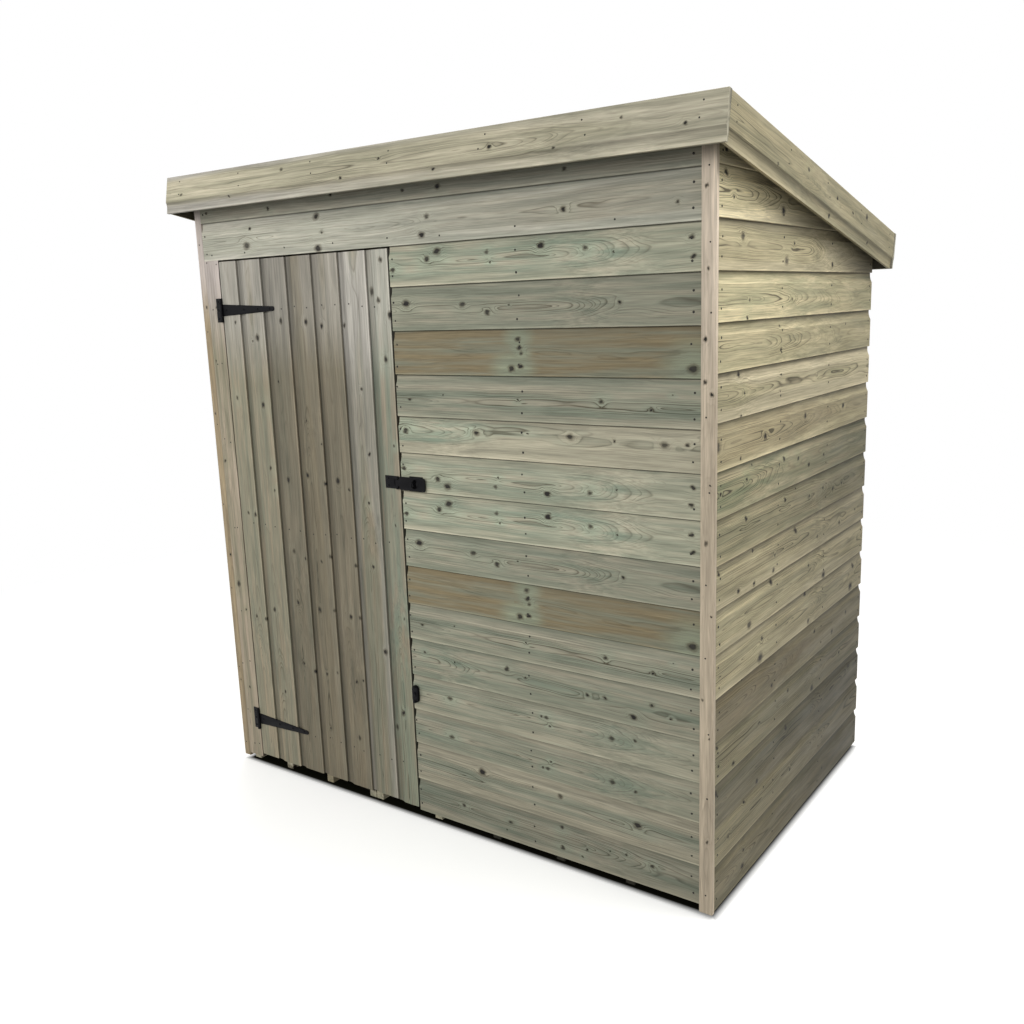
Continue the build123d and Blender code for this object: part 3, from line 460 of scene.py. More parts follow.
def softwood(name, pale, sapwood, treatment, contrast, sawn=0.0):
    """Pressure-treated softwood, read from each board's place in its log.

    Rings show as arches and stripes where the saw crossed them, part round the knots and end as arcs on the
    end grain. Copper treatment leaves blue-green streaks in the sapwood, and the heart stays brown. A planed
    face has a faint gloss, and a sawn one the marks of the blade.
    """
    timber = bpy.context.scene.shed_timber
    colours = bpy.context.scene.shed_colours
    material, shader, add, join = new_material(name)
    half = (0.5, 0.5, 0.5)
    log = add("Attribute", attribute_name="log").outputs["Vector"]
    tone = add("Attribute", attribute_name="tone")
    brown, green, light = add("SeparateColor", (tone.outputs["Color"],)).outputs

    # The grain wanders about 10 mm over a forearm's length
    slow = add("VectorMath", (log, every(340, 70)), operation="MULTIPLY")
    wander = add("TexNoise", (slow, 1.0, 2.0))
    centred = add("VectorMath", (wander.outputs["Color"], half), operation="SUBTRACT")
    sway = add("VectorMath", (centred, (0.02, 0.016, 0.03)), operation="MULTIPLY")
    wavy = add("VectorMath", (log, sway), operation="ADD")
    # Knots have ragged edges, a few millimetres in and out
    fine = add("VectorMath", (log, every(20, 8)), operation="MULTIPLY")
    ragged = add("TexNoise", (fine, 1.0, 2.0))
    rough_edge = add("VectorMath", (ragged.outputs["Color"], half), operation="SUBTRACT")
    rough_step = add("VectorMath", (rough_edge, (0.013, 0.01, 0.0)), operation="MULTIPLY")
    spot = add("VectorMath", (log, rough_step), operation="ADD")

    # Each knot, a little longer than wide, draws the rings round itself and lifts them
    nearest = 9.0
    squeeze = 0.0
    lift = 0.0
    for letter in "abc":
        knot = add("Attribute", attribute_name="knot_" + letter).outputs["Vector"]
        radius = add("SeparateXYZ", (knot,)).outputs["Z"]
        apart = add("VectorMath", (spot, knot), operation="SUBTRACT")
        flat = add("VectorMath", (apart, (0.8, 1.0, 0.0)), operation="MULTIPLY")
        distance = add("VectorMath", (flat,), operation="LENGTH").outputs["Value"]
        reach = add("Math", (distance, radius), operation="DIVIDE")
        square = add("Math", (reach, reach), operation="MULTIPLY")
        near = add("Math", (0.74, square), operation="POWER")
        across = add("SeparateXYZ", (apart,)).outputs["Y"]
        squeeze = add("Math", (across, near, squeeze), operation="MULTIPLY_ADD")
        lift = add("Math", (radius, near, lift), operation="MULTIPLY_ADD")
        nearest = add("Math", (reach, nearest), operation="MINIMUM")

    # Distance from the pith, in rings of uneven width, each ending in a thin dark line
    place = add("SeparateXYZ", (wavy,))
    beside = add("Math", (squeeze, -0.85, place.outputs["Y"]), operation="MULTIPLY_ADD")
    behind = add("Math", (lift, 0.9, place.outputs["Z"]), operation="MULTIPLY_ADD")
    from_pith = add("CombineXYZ", {"Y": beside, "Z": behind})
    radius = add("VectorMath", (from_pith,), operation="LENGTH").outputs["Value"]
    years = add("Math", (radius, timber.ring), operation="DIVIDE")
    season = add("TexNoise", (years, 0.45, 1.0), noise_dimensions="1D")
    uneven = add("Math", (season, 3.0, years), operation="MULTIPLY_ADD")
    phase = add("Math", (uneven,), operation="FRACT")
    ring = add("ValToRGB", (phase,))
    ramp = ring.color_ramp.elements
    ramp[0].color = (0, 0, 0, 1)
    ramp[1].color = (0, 0, 0, 1)
    for stop, share in ((0.5, 0.05), (0.72, 0.35), (0.86, 1.0), (0.94, 0.5)):
        ramp.new(stop).color = (share, share, share, 1)

    # Cloudy patches, streaks and fibres by length, width and detail; real fibres are too fine to show from
    # the photo's distance, so they are drawn 4.5 mm wide
    patterns = []
    for along, width, detail, roughness in ((220, 40, 3.0, 0.5), (600, 20, 4.0, 0.6), (140, 4.5, 3.0, 0.65)):
        stretched = add("VectorMath", (wavy, every(along, width)), operation="MULTIPLY")
        patterns.append(add("TexNoise", (stretched, 1.0, detail, roughness)))
    patch, streak, fibre = patterns

    # Brown inside the heart; boards with pale sapwood have it outside
    heart_edge = add("Math", (tone.outputs["Alpha"], radius), operation="SUBTRACT")
    inside = add("MapRange", (heart_edge, -0.006, 0.006))
    banded = add("MapRange", (streak, 0.35, 0.65, 0.6, 1.15))
    heart_share = add("Math", (inside, banded), operation="MULTIPLY")
    browned = add("Math", (heart_share, brown), operation="MULTIPLY", use_clamp=True)
    outside = add("Math", (inside, -1.0, 1.0), operation="MULTIPLY_ADD")
    creamed = add("Math", (outside, brown), operation="MULTIPLY")
    cream = add("Math", (creamed, -1.0), operation="MULTIPLY", use_clamp=True)
    surface = add("Mix", (browned, pale, colours.heartwood), data_type="RGBA")
    # Treatment soaks in as streaks, and as a halo round the knots
    treated = add("MapRange", (streak, 0.62, 0.36))
    ringed = add("MapRange", (nearest, 7.0, 1.5, 0.0, 0.65), interpolation_type="SMOOTHSTEP")
    unheart = add("Math", (browned, -1.0, 1.0), operation="MULTIPLY_ADD")
    taken = add("Math", (treated, unheart), operation="MULTIPLY")
    soaked = add("Math", (taken, ringed), operation="MAXIMUM")
    reached = add("Math", (soaked, green), operation="MULTIPLY", use_clamp=True)
    surface = add("Mix", (reached, surface, treatment), data_type="RGBA")
    surface = add("Mix", (cream, surface, sapwood), data_type="RGBA")

    # Ring lines fade in and out with the cloudy patches, and are strongest near the pith
    seen = add("MapRange", (patch, 0.38, 0.62, 0.3 * contrast, contrast))
    figured = add("MapRange", (radius, 0.022, 0.05, 1.25, 0.35))
    seen = add("Math", (seen, figured), operation="MULTIPLY")
    lined = add("Math", (ring.outputs["Color"], seen), operation="MULTIPLY")
    surface = add("Mix", (lined, surface, colours.latewood), data_type="RGBA")
    # Knots have a dark rim; some are dead and black, others sound and brown
    rim = add("MapRange", (nearest, 1.3, 0.65, 0.0, 0.62), interpolation_type="SMOOTHSTEP")
    surface = add("Mix", (rim, surface, colours.knot_rim), data_type="RGBA")
    core = add("MapRange", (nearest, 0.75, 0.4), interpolation_type="SMOOTHSTEP")
    dead = add("MapRange", (patch, 0.35, 0.55, 0.6))
    core = add("Math", (core, dead), operation="MULTIPLY")
    surface = add("Mix", (core, surface, colours.knot), data_type="RGBA")
    cloudy = add("MapRange", (streak, 0.3, 0.7, 0.7, 1.27))
    stringy = add("MapRange", (fibre, 0.3, 0.7, 0.8, 1.19))
    shade = add("Math", (cloudy, stringy), operation="MULTIPLY")
    # The tone's lightness carries each board's painted light and shade
    shade = add("Math", (shade, light), operation="MULTIPLY")

    # Height of ring lines and fibres; sawn timber has the blade's marks across it, 3 mm apart
    raised = add("Math", (lined, 0.5, fibre), operation="MULTIPLY_ADD")
    if sawn:
        blade = add("VectorMath", (log, (1 / (3 * MM), 6.0, 6.0)), operation="MULTIPLY")
        marks = add("TexNoise", (blade, 1.0, 1.0))
        raised = add("Math", (marks, sawn, raised), operation="MULTIPLY_ADD")
        furrow = add("MapRange", (marks, 0.3, 0.7, 0.93, 1.05))
        shade = add("Math", (shade, furrow), operation="MULTIPLY")
    join(shader, {
        "Base Color": add("VectorMath", (surface, shade), operation="SCALE"),
        "Normal": add("Bump", {"Height": raised, "Strength": 0.5, "Distance": 0.4 * MM}),
        "Roughness": add("MapRange", (patch, 0.3, 0.7, 0.55, 0.7)),
        "IOR": 1.5,
        "Specular IOR Level": 0.25,
    })
    return material


def finish_of(finish):
    """The timber material for a finish, and the record's slot that it belongs to."""
    hues = bpy.context.scene.shed_colours
    side = (hues.side_sapwood, hues.side_treatment)
    trim = (hues.trim_sapwood, hues.side_treatment, 0.35)
    # Slot, material, wood between the rings, sapwood, treatment, contrast of the rings and depth of saw marks
    finishes = {
        "cladding": (
            "shiplap_cladding", "Treated softwood, planed", hues.cladding, hues.sapwood, hues.treatment, 0.95
        ),
        # The header's finish is partly painted sheen
        "header": (
            "shiplap_cladding", "Softwood, planed and bleached", hues.header, hues.door_sapwood,
            hues.treatment, 0.6
        ),
        # The side cladding's finish is painted warm light
        "side_cladding": ("shiplap_cladding", "Treated softwood, planed and sunned", hues.side, *side, 1.15),
        "door": (
            "door_boards", "Treated softwood door boards, planed", hues.door, hues.door_sapwood,
            hues.treatment, 0.7
        ),
        "trim": ("planed_trim", "Redwood trim, planed", hues.trim, *trim),
        # Darker, browner trim of the left strip
        "browner_trim": ("planed_trim", "Redwood trim, planed and sunned", hues.framing, *trim),
        "fascia": (
            "fascia_boards", "Treated softwood fascia, planed", hues.fascia, hues.door_sapwood,
            hues.side_treatment, 0.65
        ),
        # The side fascias' finish is painted warm light
        "side_fascia": ("fascia_boards", "Treated softwood fascia, planed and sunned", hues.side, *side, 0.7),
        "framing": ("framing_timber", "Softwood framing, sawn", hues.framing, *side, 0.4, 0.8),
        "floor": (
            "floor_timber", "Treated softwood floor, sawn", hues.floor, hues.sapwood, hues.treatment,
            0.45, 0.5
        ),
    }
    slot, name, *how = finishes[finish]
    return shared(name, softwood, *how), slot


class Cut:
    """How one board was sawn from its log: the pith's place, the tone and the knots."""

    def __init__(self, board, width, reach=None):
        rng = random.Random(board.seed)
        self.board = board
        self.width = width
        self.start = rng.uniform(0, 30)
        self.sway = rng.uniform(-0.008, 0.008)
        knots = board.knots
        if knots is None:
            knots = []
            low, high = reach
            along = low + rng.uniform(0, 0.25)
            while along < high:
                across = rng.uniform(0.08, 0.85) * width / MM
                knots.append((along / MM, across, rng.choice(KNOT_SIZES)))
                along += rng.uniform(0.1, 0.45)
        self.knots = [(u * MM, v * MM, r * MM) for u, v, r in knots]

    def across(self, v):
        """Distance across the board, from its other edge if the board is turned."""
        return self.width - v if self.board.turned else v

    def beside(self, u, v):
        """Distance of a place on the board from the line of the pith."""
        return v - self.board.centre * MM - self.sway * u

    def in_log(self, u, v, w):
        """A point's place in the log: along it, and from the pith across and out."""
        low, high = (end * MM for end in self.board.loops)
        share = min(max((u - low) / (high - low), 0.0), 1.0)
        rise = self.board.lean * (high - low) * (share - math.sin(math.tau * share) / math.tau)
        return u + self.start, self.beside(u, self.across(v)), w + self.board.depth * MM + rise

    def tone(self, u):
        """Heartwood, treatment, lightness and heart radius at a place along the board."""
        first, second, before, after, bleach = self.board.fade
        share = min(max((u / MM - first) / (second - first), 0.0), 1.0)
        share = share * share * (3 - 2 * share)
        light = self.board.light * (before + (after - before) * share)
        return self.board.brown - bleach * share, self.board.green, light, self.board.heart * MM

    def near_knots(self, u, v, half_u, half_v):
        """The three knots that matter most to a face, in the log's places."""
        ranked = []
        for knot_u, knot_v, radius in self.knots:
            apart_u = max(abs(knot_u - u) - half_u, 0)
            apart_v = max(abs(knot_v - self.across(v)) - half_v, 0)
            ranked.append((math.hypot(apart_u, apart_v) / radius, knot_u, knot_v, radius))
        found = [(u + self.start, self.beside(u, v), radius) for _, u, v, radius in sorted(ranked)[:3]]
        return found + [NO_KNOT] * (3 - len(found))


def placed(mesh, name, body, slot, material, sharp, *replaced):
    """Makes a mesh an object that rides on a body and stands for the solids it replaces."""
    mesh.shade_smooth()
    mesh.set_sharp_from_angle(angle=math.radians(sharp))
    mesh.materials.append(material)
    made = bpy.data.objects.new(name, mesh)
    bpy.context.scene.collection.objects.link(made)
    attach(made, body)
    if replaced:
        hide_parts(*replaced)


def finished(work, name, body, slot, material, *replaced):
    """Turns mesh work into an object that rides on a body."""
    mesh = bpy.data.meshes.new(name)
    work.to_mesh(mesh)
    work.free()
    placed(mesh, name, body, slot, material, 40, *replaced)


class Stack:
    """The boards of one piece, with what the wood material reads from each point and face."""

    def __init__(self):
        self.points = []
        self.faces = []
        self.log = []
        self.tone = []
        self.knots = []

    def face(self, corners, cut, flat):
        """Adds a face; flat gives its corners along and across the board."""
        sides = [[p[i] for p in flat] for i in range(2)]
        middle = [(min(side) + max(side)) / 2 for side in sides]
        half = [(max(side) - min(side)) / 2 for side in sides]
        self.faces.append(corners)
        self.knots.append(cut.near_knots(*middle, *half))

    def board(self, section, rows, place, cut, limit=None):
        """Runs a section of across, out and shade along its rows; place turns it into the shed's metres."""
        first = len(self.points)
        count = len(section)
        flat = []
        for u in rows:
            brown, green, light, heart = cut.tone(u)
            for v, w, shade in section:
                point = place @ Vector((u, v, w))
                self.points.append(limit(point) if limit else point)
                self.log.append(cut.in_log(u, v, w))
                self.tone.append((brown, green, light * shade, heart))
                flat.append((u, v))
        faces = []
        for i in range(len(rows) - 1):
            for j in range(count):
                k = (j + 1) % count
                faces.append((i * count + j, i * count + k, (i + 1) * count + k, (i + 1) * count + j))
        last = (len(rows) - 1) * count
        faces += [tuple(range(count)), tuple(range(last, last + count))]
        for face in faces:
            self.face([first + n for n in face], cut, [flat[n] for n in face])

    def piece(self, name, body, finish, replaced):
        """Makes the boards one object that rides on a body and stands for the solid it replaces."""
        mesh = bpy.data.meshes.new(name)
        mesh.from_pydata(self.points, [], self.faces)
        attributes = [("log", "FLOAT_VECTOR", "POINT", self.log), ("tone", "FLOAT_COLOR", "POINT", self.tone)]
        for n, letter in enumerate("abc"):
            attributes.append(("knot_" + letter, "FLOAT_VECTOR", "FACE", [knots[n] for knots in self.knots]))
        for attribute, kind, domain, rows in attributes:
            key = "color" if kind == "FLOAT_COLOR" else "vector"
            data = mesh.attributes.new(attribute, kind, domain).data
            data.foreach_set(key, [value for row in rows for value in row])
        work = bmesh.new()
        work.from_mesh(mesh)
        bmesh.ops.dissolve_degenerate(work, dist=1e-5, edges=work.edges)
        bmesh.ops.recalc_face_normals(work, faces=work.faces)
        work.to_mesh(mesh)
        work.free()
        material, slot = finish_of(finish)
        placed(mesh, name, body, slot, material, 20, replaced)


def stations(low, high, step):
    """Even places from low to high, about a step apart."""
    count = max(1, round((high - low) / step))
    return [low + (high - low) * n / count for n in range(count + 1)]


def wall_place(face, along, up, out):
    """The matrix that lays a board's along, across and out directions on a wall's face."""
    return Matrix([[c[row] for c in (along, up, out, face)] for row in range(3)] + [[0, 0, 0, 1]])


def outer_face(low, high, out):
    """The side of a box that faces out: the axis along it, and a point in its plane."""
    axis = 0 if out.y else 1
    face = Vector()
    face[1 - axis] = (high if out[1 - axis] > 0 else low)[1 - axis]
    return axis, face


def scoop(start, height, depth, shade):
    """The hollow along a board's edge, in six steps from the flat face to its full depth."""
    rises = [n / 6 for n in range(1, 7)]
    return [(start + height * rise, -depth * (1 - (1 - rise) ** SCOOP_CURVE), shade(rise)) for rise in rises]


def shiplap(cover, hollow, square_foot=False, top=None):
    """Section of a lapped board: rounded foot, flat face, scoop, tongue behind the next board, and rebate.

    Hollow is the lightness at the bottom of the scoop: painted shade.
    """
    timber = bpy.context.scene.shed_timber
    arris, deep, back = timber.arris, -timber.scoop_depth, -timber.thickness
    flat_top = cover - timber.tongue - timber.scoop_height
    end = cover + timber.lap
    points = [(0, -arris, EDGE), (EASED * arris, -EASED * arris, EDGE), (arris, 0, EDGE)]
    # The paler edge is 3.5 mm high and fades into the face over the next 2 mm
    points += [(3.5 * MM, 0, EDGE), (5.5 * MM, 0, 1)]
    points += [(flat_top * share, 0, 1) for share in (0.33, 0.66, 1.0)]
    points += scoop(flat_top, timber.scoop_height, -deep, lambda rise: 1 - (1 - hollow) * rise**0.45)
    # Painted shadow line on the tongue under the next board's foot; the back and rebate are painted in shade
    points += [(cover - 2.5 * MM, deep, SEAM), (end, deep, SEAM), (end, back, BACK_SHADE)]
    # A square foot's end face is painted in deep shade
    if square_foot:
        points += [(0, back, SHADED), (0, -2 * arris, SHADED)]
    else:
        rebate = timber.lap + MM
        inner = deep + 0.4 * MM
        points += [(rebate, back, BACK_SHADE), (rebate, inner, BACK_SHADE), (0, inner, BACK_SHADE)]
    top = end if top is None else top
    return [(min(v, top), w, shade) for v, w, shade in points]


def plank_section(width, thickness, arris, side=1.0):
    """Rectangular section with eased edges, its face split so that knots have room.

    Side is the painted lightness of its far side, lit or in shade.
    """
    back = -thickness
    ease = EASED * arris
    face = [(arris + (width - 2 * arris) * share, 0) for share in (0, 1 / 3, 2 / 3, 1)]
    points = [(0, -arris), (ease, -ease), *face, (width - ease, -ease), (width, -arris)]
    points = [(v, w, 1) for v, w in points] + [(width, -2 * arris, side), (width, back + arris, side)]
    return points + [(width - arris, back, 1), (arris, back, 1), (0, back + arris, 1)]


def under_roof(point):
    """Cuts a point off at the underside of the roof boards."""
    roof = DECK_EDGE.z - (point.y - DECK_EDGE.y) * math.tan(ROOF_SLOPE)
    return Vector((point.x, point.y, min(point.z, roof)))


def under_header(point):
    """Ends the top front board's tongue just under the header's foot."""
    return Vector((point.x, point.y, min(point.z, HEADER_SEAMS[0] * MM)))


def random_board(seed, low, high, treated=0.6):
    """A board for a side that the photo doesn't show, of the same mix as those it shows."""
    rng = random.Random(seed)
    middle = rng.uniform(low, high) / MM
    return Board(
        seed,
        turned=rng.random() < 0.5,
        brown=rng.choice((-0.8, -0.5, -0.4, 0.1, 0.7)),
        green=rng.uniform(0.1, treated),
        light=rng.uniform(0.93, 1.06),
        heart=rng.uniform(34, 60),
        centre=rng.uniform(45, 70),
        depth=rng.uniform(5, 30),
        lean=rng.uniform(0.02, 0.09),
        loops=(middle - 250, middle + 250),
    )


def lay_wall(name, solid, boards, seams, out, seed, finish, limit, start=None):
    """Boards of one wall, from the ground up, each a little out of line as nailed boards are."""
    low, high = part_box(solid)
    axis, face = outer_face(low, high, out)
    reach = (low[axis] if start is None else start, high[axis])
    stack = Stack()
    rng = random.Random(seed)
    for n, (foot, head) in enumerate(zip(seams, seams[1:])):
        cover = (head - foot) * MM
        proud = rng.uniform(-0.5, 0.1) * MM
        cut = Cut(boards[n] if boards else random_board(seed + n, *reach), cover, reach)
        place = wall_place(face + foot * MM * UP + proud * out, BACK if axis else RIGHT, UP, out)
        ends = (reach[0] + rng.uniform(0, 1.0) * MM, reach[1] - rng.uniform(0, 1.0) * MM)
        stack.board(shiplap(cover, HOLLOW_SHADE[finish], n == 0), stations(*ends, BOARD_STEP), place, cut, limit)
    stack.piece(name, "shed", finish, solid)


class SHED_OT_lay_cladding(Operator):
    """Lays the lapped boards of the four walls and those over the doorway"""

    bl_idname = "shed.lay_cladding"
    bl_label = "Lay cladding"

    def execute(self, context):
        past_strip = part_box("left_corner_strip")[1].y
        # Piece, node, boards, seams, the way it faces, seed, finish, what cuts it off, and where it starts
        walls = (
            ("front_wall_boards", "front_wall_cladding", FRONT_BOARDS, FRONT_SEAMS, FRONT, 11, "cladding",
             under_header, None),
            ("header_boards", "front_header_cladding", HEADER_BOARDS, HEADER_SEAMS, FRONT, 12, "header",
             under_roof, None),
            ("right_wall_boards", "right_wall_cladding", RIGHT_BOARDS, SIDE_SEAMS, RIGHT, 13, "side_cladding",
             under_roof, None),
            ("left_wall_boards", "left_wall_cladding", None, SIDE_SEAMS, LEFT, 1400, "side_cladding",
             under_roof, past_strip),
            ("back_wall_boards", "back_wall_cladding", None, BACK_SEAMS, BACK, 1500, "cladding",
             under_roof, None),
        )
        for wall in walls:
            lay_wall(*wall)
        return {"FINISHED"}


class SHED_OT_fit_trim(Operator):
    """Fits the corner strips and the plank on the hinge side of the doorway"""

    bl_idname = "shed.fit_trim"
    bl_label = "Fit trim"

    def execute(self, context):
        for solid, (name, finish, side, board) in TRIM.items():
            low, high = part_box(solid)
            width = high.x - low.x
            section = plank_section(width, high.y - low.y, 1.2 * MM, side)
            place = wall_place((low.x, low.y, 0), UP, RIGHT, FRONT)
            stack = Stack()
            stack.board(section, stations(low.z, high.z, BOARD_STEP), place, Cut(board, width), under_roof)
            stack.piece(name, "shed", finish, solid)
        return {"FINISHED"}


class SHED_OT_fit_fascias(Operator):
    """Hangs the four fascia boards round the roof, each with the scoop along its lower edge"""

    bl_idname = "shed.fit_fascias"
    bl_label = "Fit fascias"

    def execute(self, context):
        for solid, (out, finish, board) in FASCIAS.items():
            low, high = roof_box(solid)
            axis, face = outer_face(low, high, out)
            height = high.z - low.z
            reach = (low[axis], high[axis])
            place = ROOF @ wall_place(face - FASCIA_INSET * out, BACK if axis else RIGHT, DOWN, out)
            stack = Stack()
            stack.board(self.section(height), stations(*reach, BOARD_STEP), place, Cut(board, height, reach))
            stack.piece(solid + "_board", "shed", finish, solid)
        return {"FINISHED"}

    @staticmethod
    def section(height):
        """From the upper edge down: flat face, scoop with a painted shadow at its top, paler lower edge, and
        a back painted in shade.
        """
        timber = bpy.context.scene.shed_timber
        flat, arris, deep, back = timber.fascia_flat, timber.arris, -timber.scoop_depth, -timber.thickness
        points = [(0, -arris, EDGE), (EASED * arris, -EASED * arris, EDGE), (arris, 0, 1)]
        points += [(flat * share, 0, 1) for share in (0.3, 0.6, 1.0)]
        # Painted shadow under the flat face: the scoop is darkest at its top
        points += scoop(flat, timber.fascia_scoop, -deep, lambda rise: 1 - 0.5 * (1 - rise) ** 2)
        points += [(height - 4 * MM, deep, EDGE), (height, deep, EDGE), (height, back + 2 * MM, 1)]
        return points + [(height, back, SHADED), (0, back, SHADED)]


class SHED_OT_hang_door(Operator):
    """Makes the door leaf of upright lapped boards on three ledges and two braces"""

    bl_idname = "shed.hang_door"
    bl_label = "Hang door"

    def execute(self, context):
        low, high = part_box("door_boards")
        stack = Stack()
        for n, board in enumerate(DOOR_BOARDS):
            edge = DOOR_SEAMS[n] * MM
            cover = (DOOR_SEAMS[n + 1] - DOOR_SEAMS[n]) * MM
            last = n == len(DOOR_BOARDS) - 1
            section = shiplap(cover, HOLLOW_SHADE["door"], n == 0, high.x - low.x - edge if last else None)
            rows = stations(low.z + DOOR_FEET[n] * MM, high.z, BOARD_STEP)
            place = wall_place((high.x - edge, low.y, 0), UP, LEFT, FRONT)
            stack.board(section, rows, place, Cut(board, cover))
        stack.piece("door_leaf_boards", "door", "door", "door_boards")
        for n, part in enumerate(("top_ledge", "middle_ledge", "bottom_ledge", "upper_brace", "lower_brace")):
            dress_timbers(f"door_{part}_timber", "door_" + part, "door", "framing", 600 + n)
        return {"FINISHED"}


def islands(mesh):
    """Groups of faces that hang together."""
    left = set(mesh.faces)
    groups = []
    while left:
        group = {left.pop()}
        edge = list(group)
        while edge:
            face = edge.pop()
            for corner in face.verts:
                for other in corner.link_faces:
                    if other in left:
                        left.remove(other)
                        group.add(other)
                        edge.append(other)
        groups.append(sorted(group, key=lambda f: f.index))
    return sorted(groups, key=lambda g: g[0].index)


def eased_solid(name, ease):
    """A node's solids as one mesh, with square edges eased by a small round."""
    solid = bmesh.new()
    solid.from_mesh(NODES[name].data)
    bmesh.ops.remove_doubles(solid, verts=solid.verts, dist=1e-6)
    bmesh.ops.dissolve_limit(solid, angle_limit=math.radians(0.5), verts=solid.verts, edges=solid.edges)
    square = math.radians(40)
    edges = [e for e in solid.edges if len(e.link_faces) == 2 and e.calc_face_angle() > square]
    bmesh.ops.bevel(
        solid, geom=edges, offset=ease, segments=2, profile=0.5, affect="EDGES", clamp_overlap=True
    )
    bmesh.ops.recalc_face_normals(solid, faces=solid.faces)
    for parts in (solid.verts, solid.edges, solid.faces):
        parts.index_update()
    return solid


def dress_timbers(piece_name, name, body, finish, seed, shaded_from=9.0):
    """Square timbers cut from a node's solids, each with its own log along its longest edge.

    Those right of the given x are painted dark: painted deep shade.
    """
    solid = eased_solid(name, 1.2 * MM)
    stack = Stack()
    for n, group in enumerate(islands(solid)):
        corners = sorted({v for f in group for v in f.verts}, key=lambda v: v.index)
        edges = sorted({e for f in group for e in f.edges}, key=lambda e: e.index)
        longest = max(edges, key=lambda e: e.calc_length())
        along = (longest.verts[1].co - longest.verts[0].co).normalized()
        sides = [e.verts[1].co - e.verts[0].co for e in edges]
        across = max((s for s in sides if abs(s.normalized().dot(along)) < 0.3), key=lambda s: s.length)
        across = (across - across.dot(along) * along).normalized()
        own_frame = Matrix((along, across, along.cross(across)))
        local = {v: own_frame @ v.co for v in corners}
        low, high = span(local.values())
        board = random_board(seed * 100 + n, low.x, high.x, 0.25)
        # Timbers past that place are painted in deep shade
        if corners[0].co.x > shaded_from:
            board = board._replace(light=0.3 * SHADED)
        cut = Cut(board, high.y - low.y, (low.x, high.x))
        index = {v: len(stack.points) + i for i, v in enumerate(corners)}
        for v in corners:
            stack.points.append(v.co.copy())
            stack.log.append(cut.in_log(local[v].x, local[v].y - low.y, local[v].z - high.z))
            stack.tone.append(cut.tone(local[v].x))
        for f in group:
            stack.face([index[v] for v in f.verts], cut, [(local[v].x, local[v].y - low.y) for v in f.verts])
    solid.free()
    stack.piece(piece_name, body, finish, name)


class SHED_OT_set_framing(Operator):
    """Sets the sawn studs, rails, roof battens, purlins and floor bearers"""

    bl_idname = "shed.set_framing"
    bl_label = "Set framing"

    def execute(self, context):
        seed = 700
        for side in ("front", "right", "left", "back"):
            for part in ("studs", "rails"):
                seed += 1
                dress_timbers(f"{side}_{part}", f"{side}_wall_{part}", "shed", "framing", seed)
        dress_timbers("edge_battens", "roof_edge_battens", "shed", "framing", 721)
        dress_timbers("purlins", "roof_purlins", "shed", "framing", 722)
        dress_timbers("bearers", "floor_bearers", "shed", "floor", 723, shaded_from=0.05)
        return {"FINISHED"}


def solids_of(name):
    """Lowest and highest corner of each solid in a node, from left to right."""
    solid = bmesh.new()
    solid.from_mesh(NODES[name].data)
    bmesh.ops.remove_doubles(solid, verts=solid.verts, dist=1e-6)
    boxes = [span([v.co for f in group for v in f.verts]) for group in islands(solid)]
    solid.free()
    return sorted(boxes, key=lambda box: box[0].x)


class SHED_OT_lay_floor(Operator):
    """Lays the floor boards across the bearers, in two panels"""

    bl_idname = "shed.lay_floor"
    bl_label = "Lay floor"

    def execute(self, context):
        stack = Stack()
        gap = 0.8 * MM
        for panel, (low, high) in enumerate(solids_of("floor_deck")):
            count = round((high.y - low.y) / context.scene.shed_timber.floor_cover)
            cover = (high.y - low.y) / count
            section = plank_section(cover - gap, high.z - low.z, 1.0 * MM)
            reach = (low.x, high.x)
            for n in range(count):
                cut = Cut(random_board(8100 + panel * 50 + n, *reach), cover, reach)
                place = wall_place((0, low.y + n * cover, high.z), RIGHT, BACK, UP)
                stack.board(section, stations(*reach, 0.1), place, cut)
        stack.piece("floor_boards", "shed", "floor", "floor_deck")
        return {"FINISHED"}


def mineral_felt(name):
    """Bitumen roofing felt with a pressed-in mineral face: matt dark grit, lighter where it is worn.

    Real grit is about 1.5 mm across and too fine to show, so it is drawn at 3 mm.
    """
    felt = tuple(bpy.context.scene.shed_colours.felt)[:3]
    material, shader, add, join = new_material(name)
    place = add("TexCoord").outputs["Object"]
    grit = add("TexVoronoi", (place, 1 / (3 * MM)))
    cloud = add("TexNoise", (place, 1 / (250 * MM), 4.0))
    grey = add("RGBToBW", (grit.outputs["Color"],))
    speck = add("MapRange", (grey, 0.0, 1.0, 0.55, 1.5))
    worn = add("MapRange", (cloud, 0.3, 0.7, 0.8, 1.2))
    shade = add("Math", (speck, worn), operation="MULTIPLY")
    join(shader, {
        "Base Color": add("VectorMath", (felt, shade), operation="SCALE"),
        "Normal": add("Bump", {"Height": grit.outputs["Distance"], "Strength": 0.6, "Distance": 0.8 * MM}),
        "Roughness": 0.92,
        "IOR": 1.55,
    })
    return material


def black_paint(name):
    """Steel under black powder coating: satin, a little orange-peel, patches of dust."""
    paint = tuple(bpy.context.scene.shed_colours.ironwork)[:3]
    material, shader, add, join = new_material(name)
    place = add("TexCoord").outputs["Object"]
    peel = add("TexNoise", (place, 1 / (1.5 * MM), 1.0))
    dust = add("TexNoise", (place, 1 / (20 * MM), 3.0))
    dusty = add("MapRange", (dust, 0.35, 0.75, 0.85, 1.5))
    join(shader, {
        "Base Color": add("VectorMath", (paint, dusty), operation="SCALE"),
        "Roughness": add("MapRange", (dust, 0.0, 1.0, 0.4, 0.65)),
        "Normal": add("Bump", {"Height": peel, "Strength": 0.25, "Distance": 0.2 * MM}),
        "Specular IOR Level": 0.1,
    })
    return material


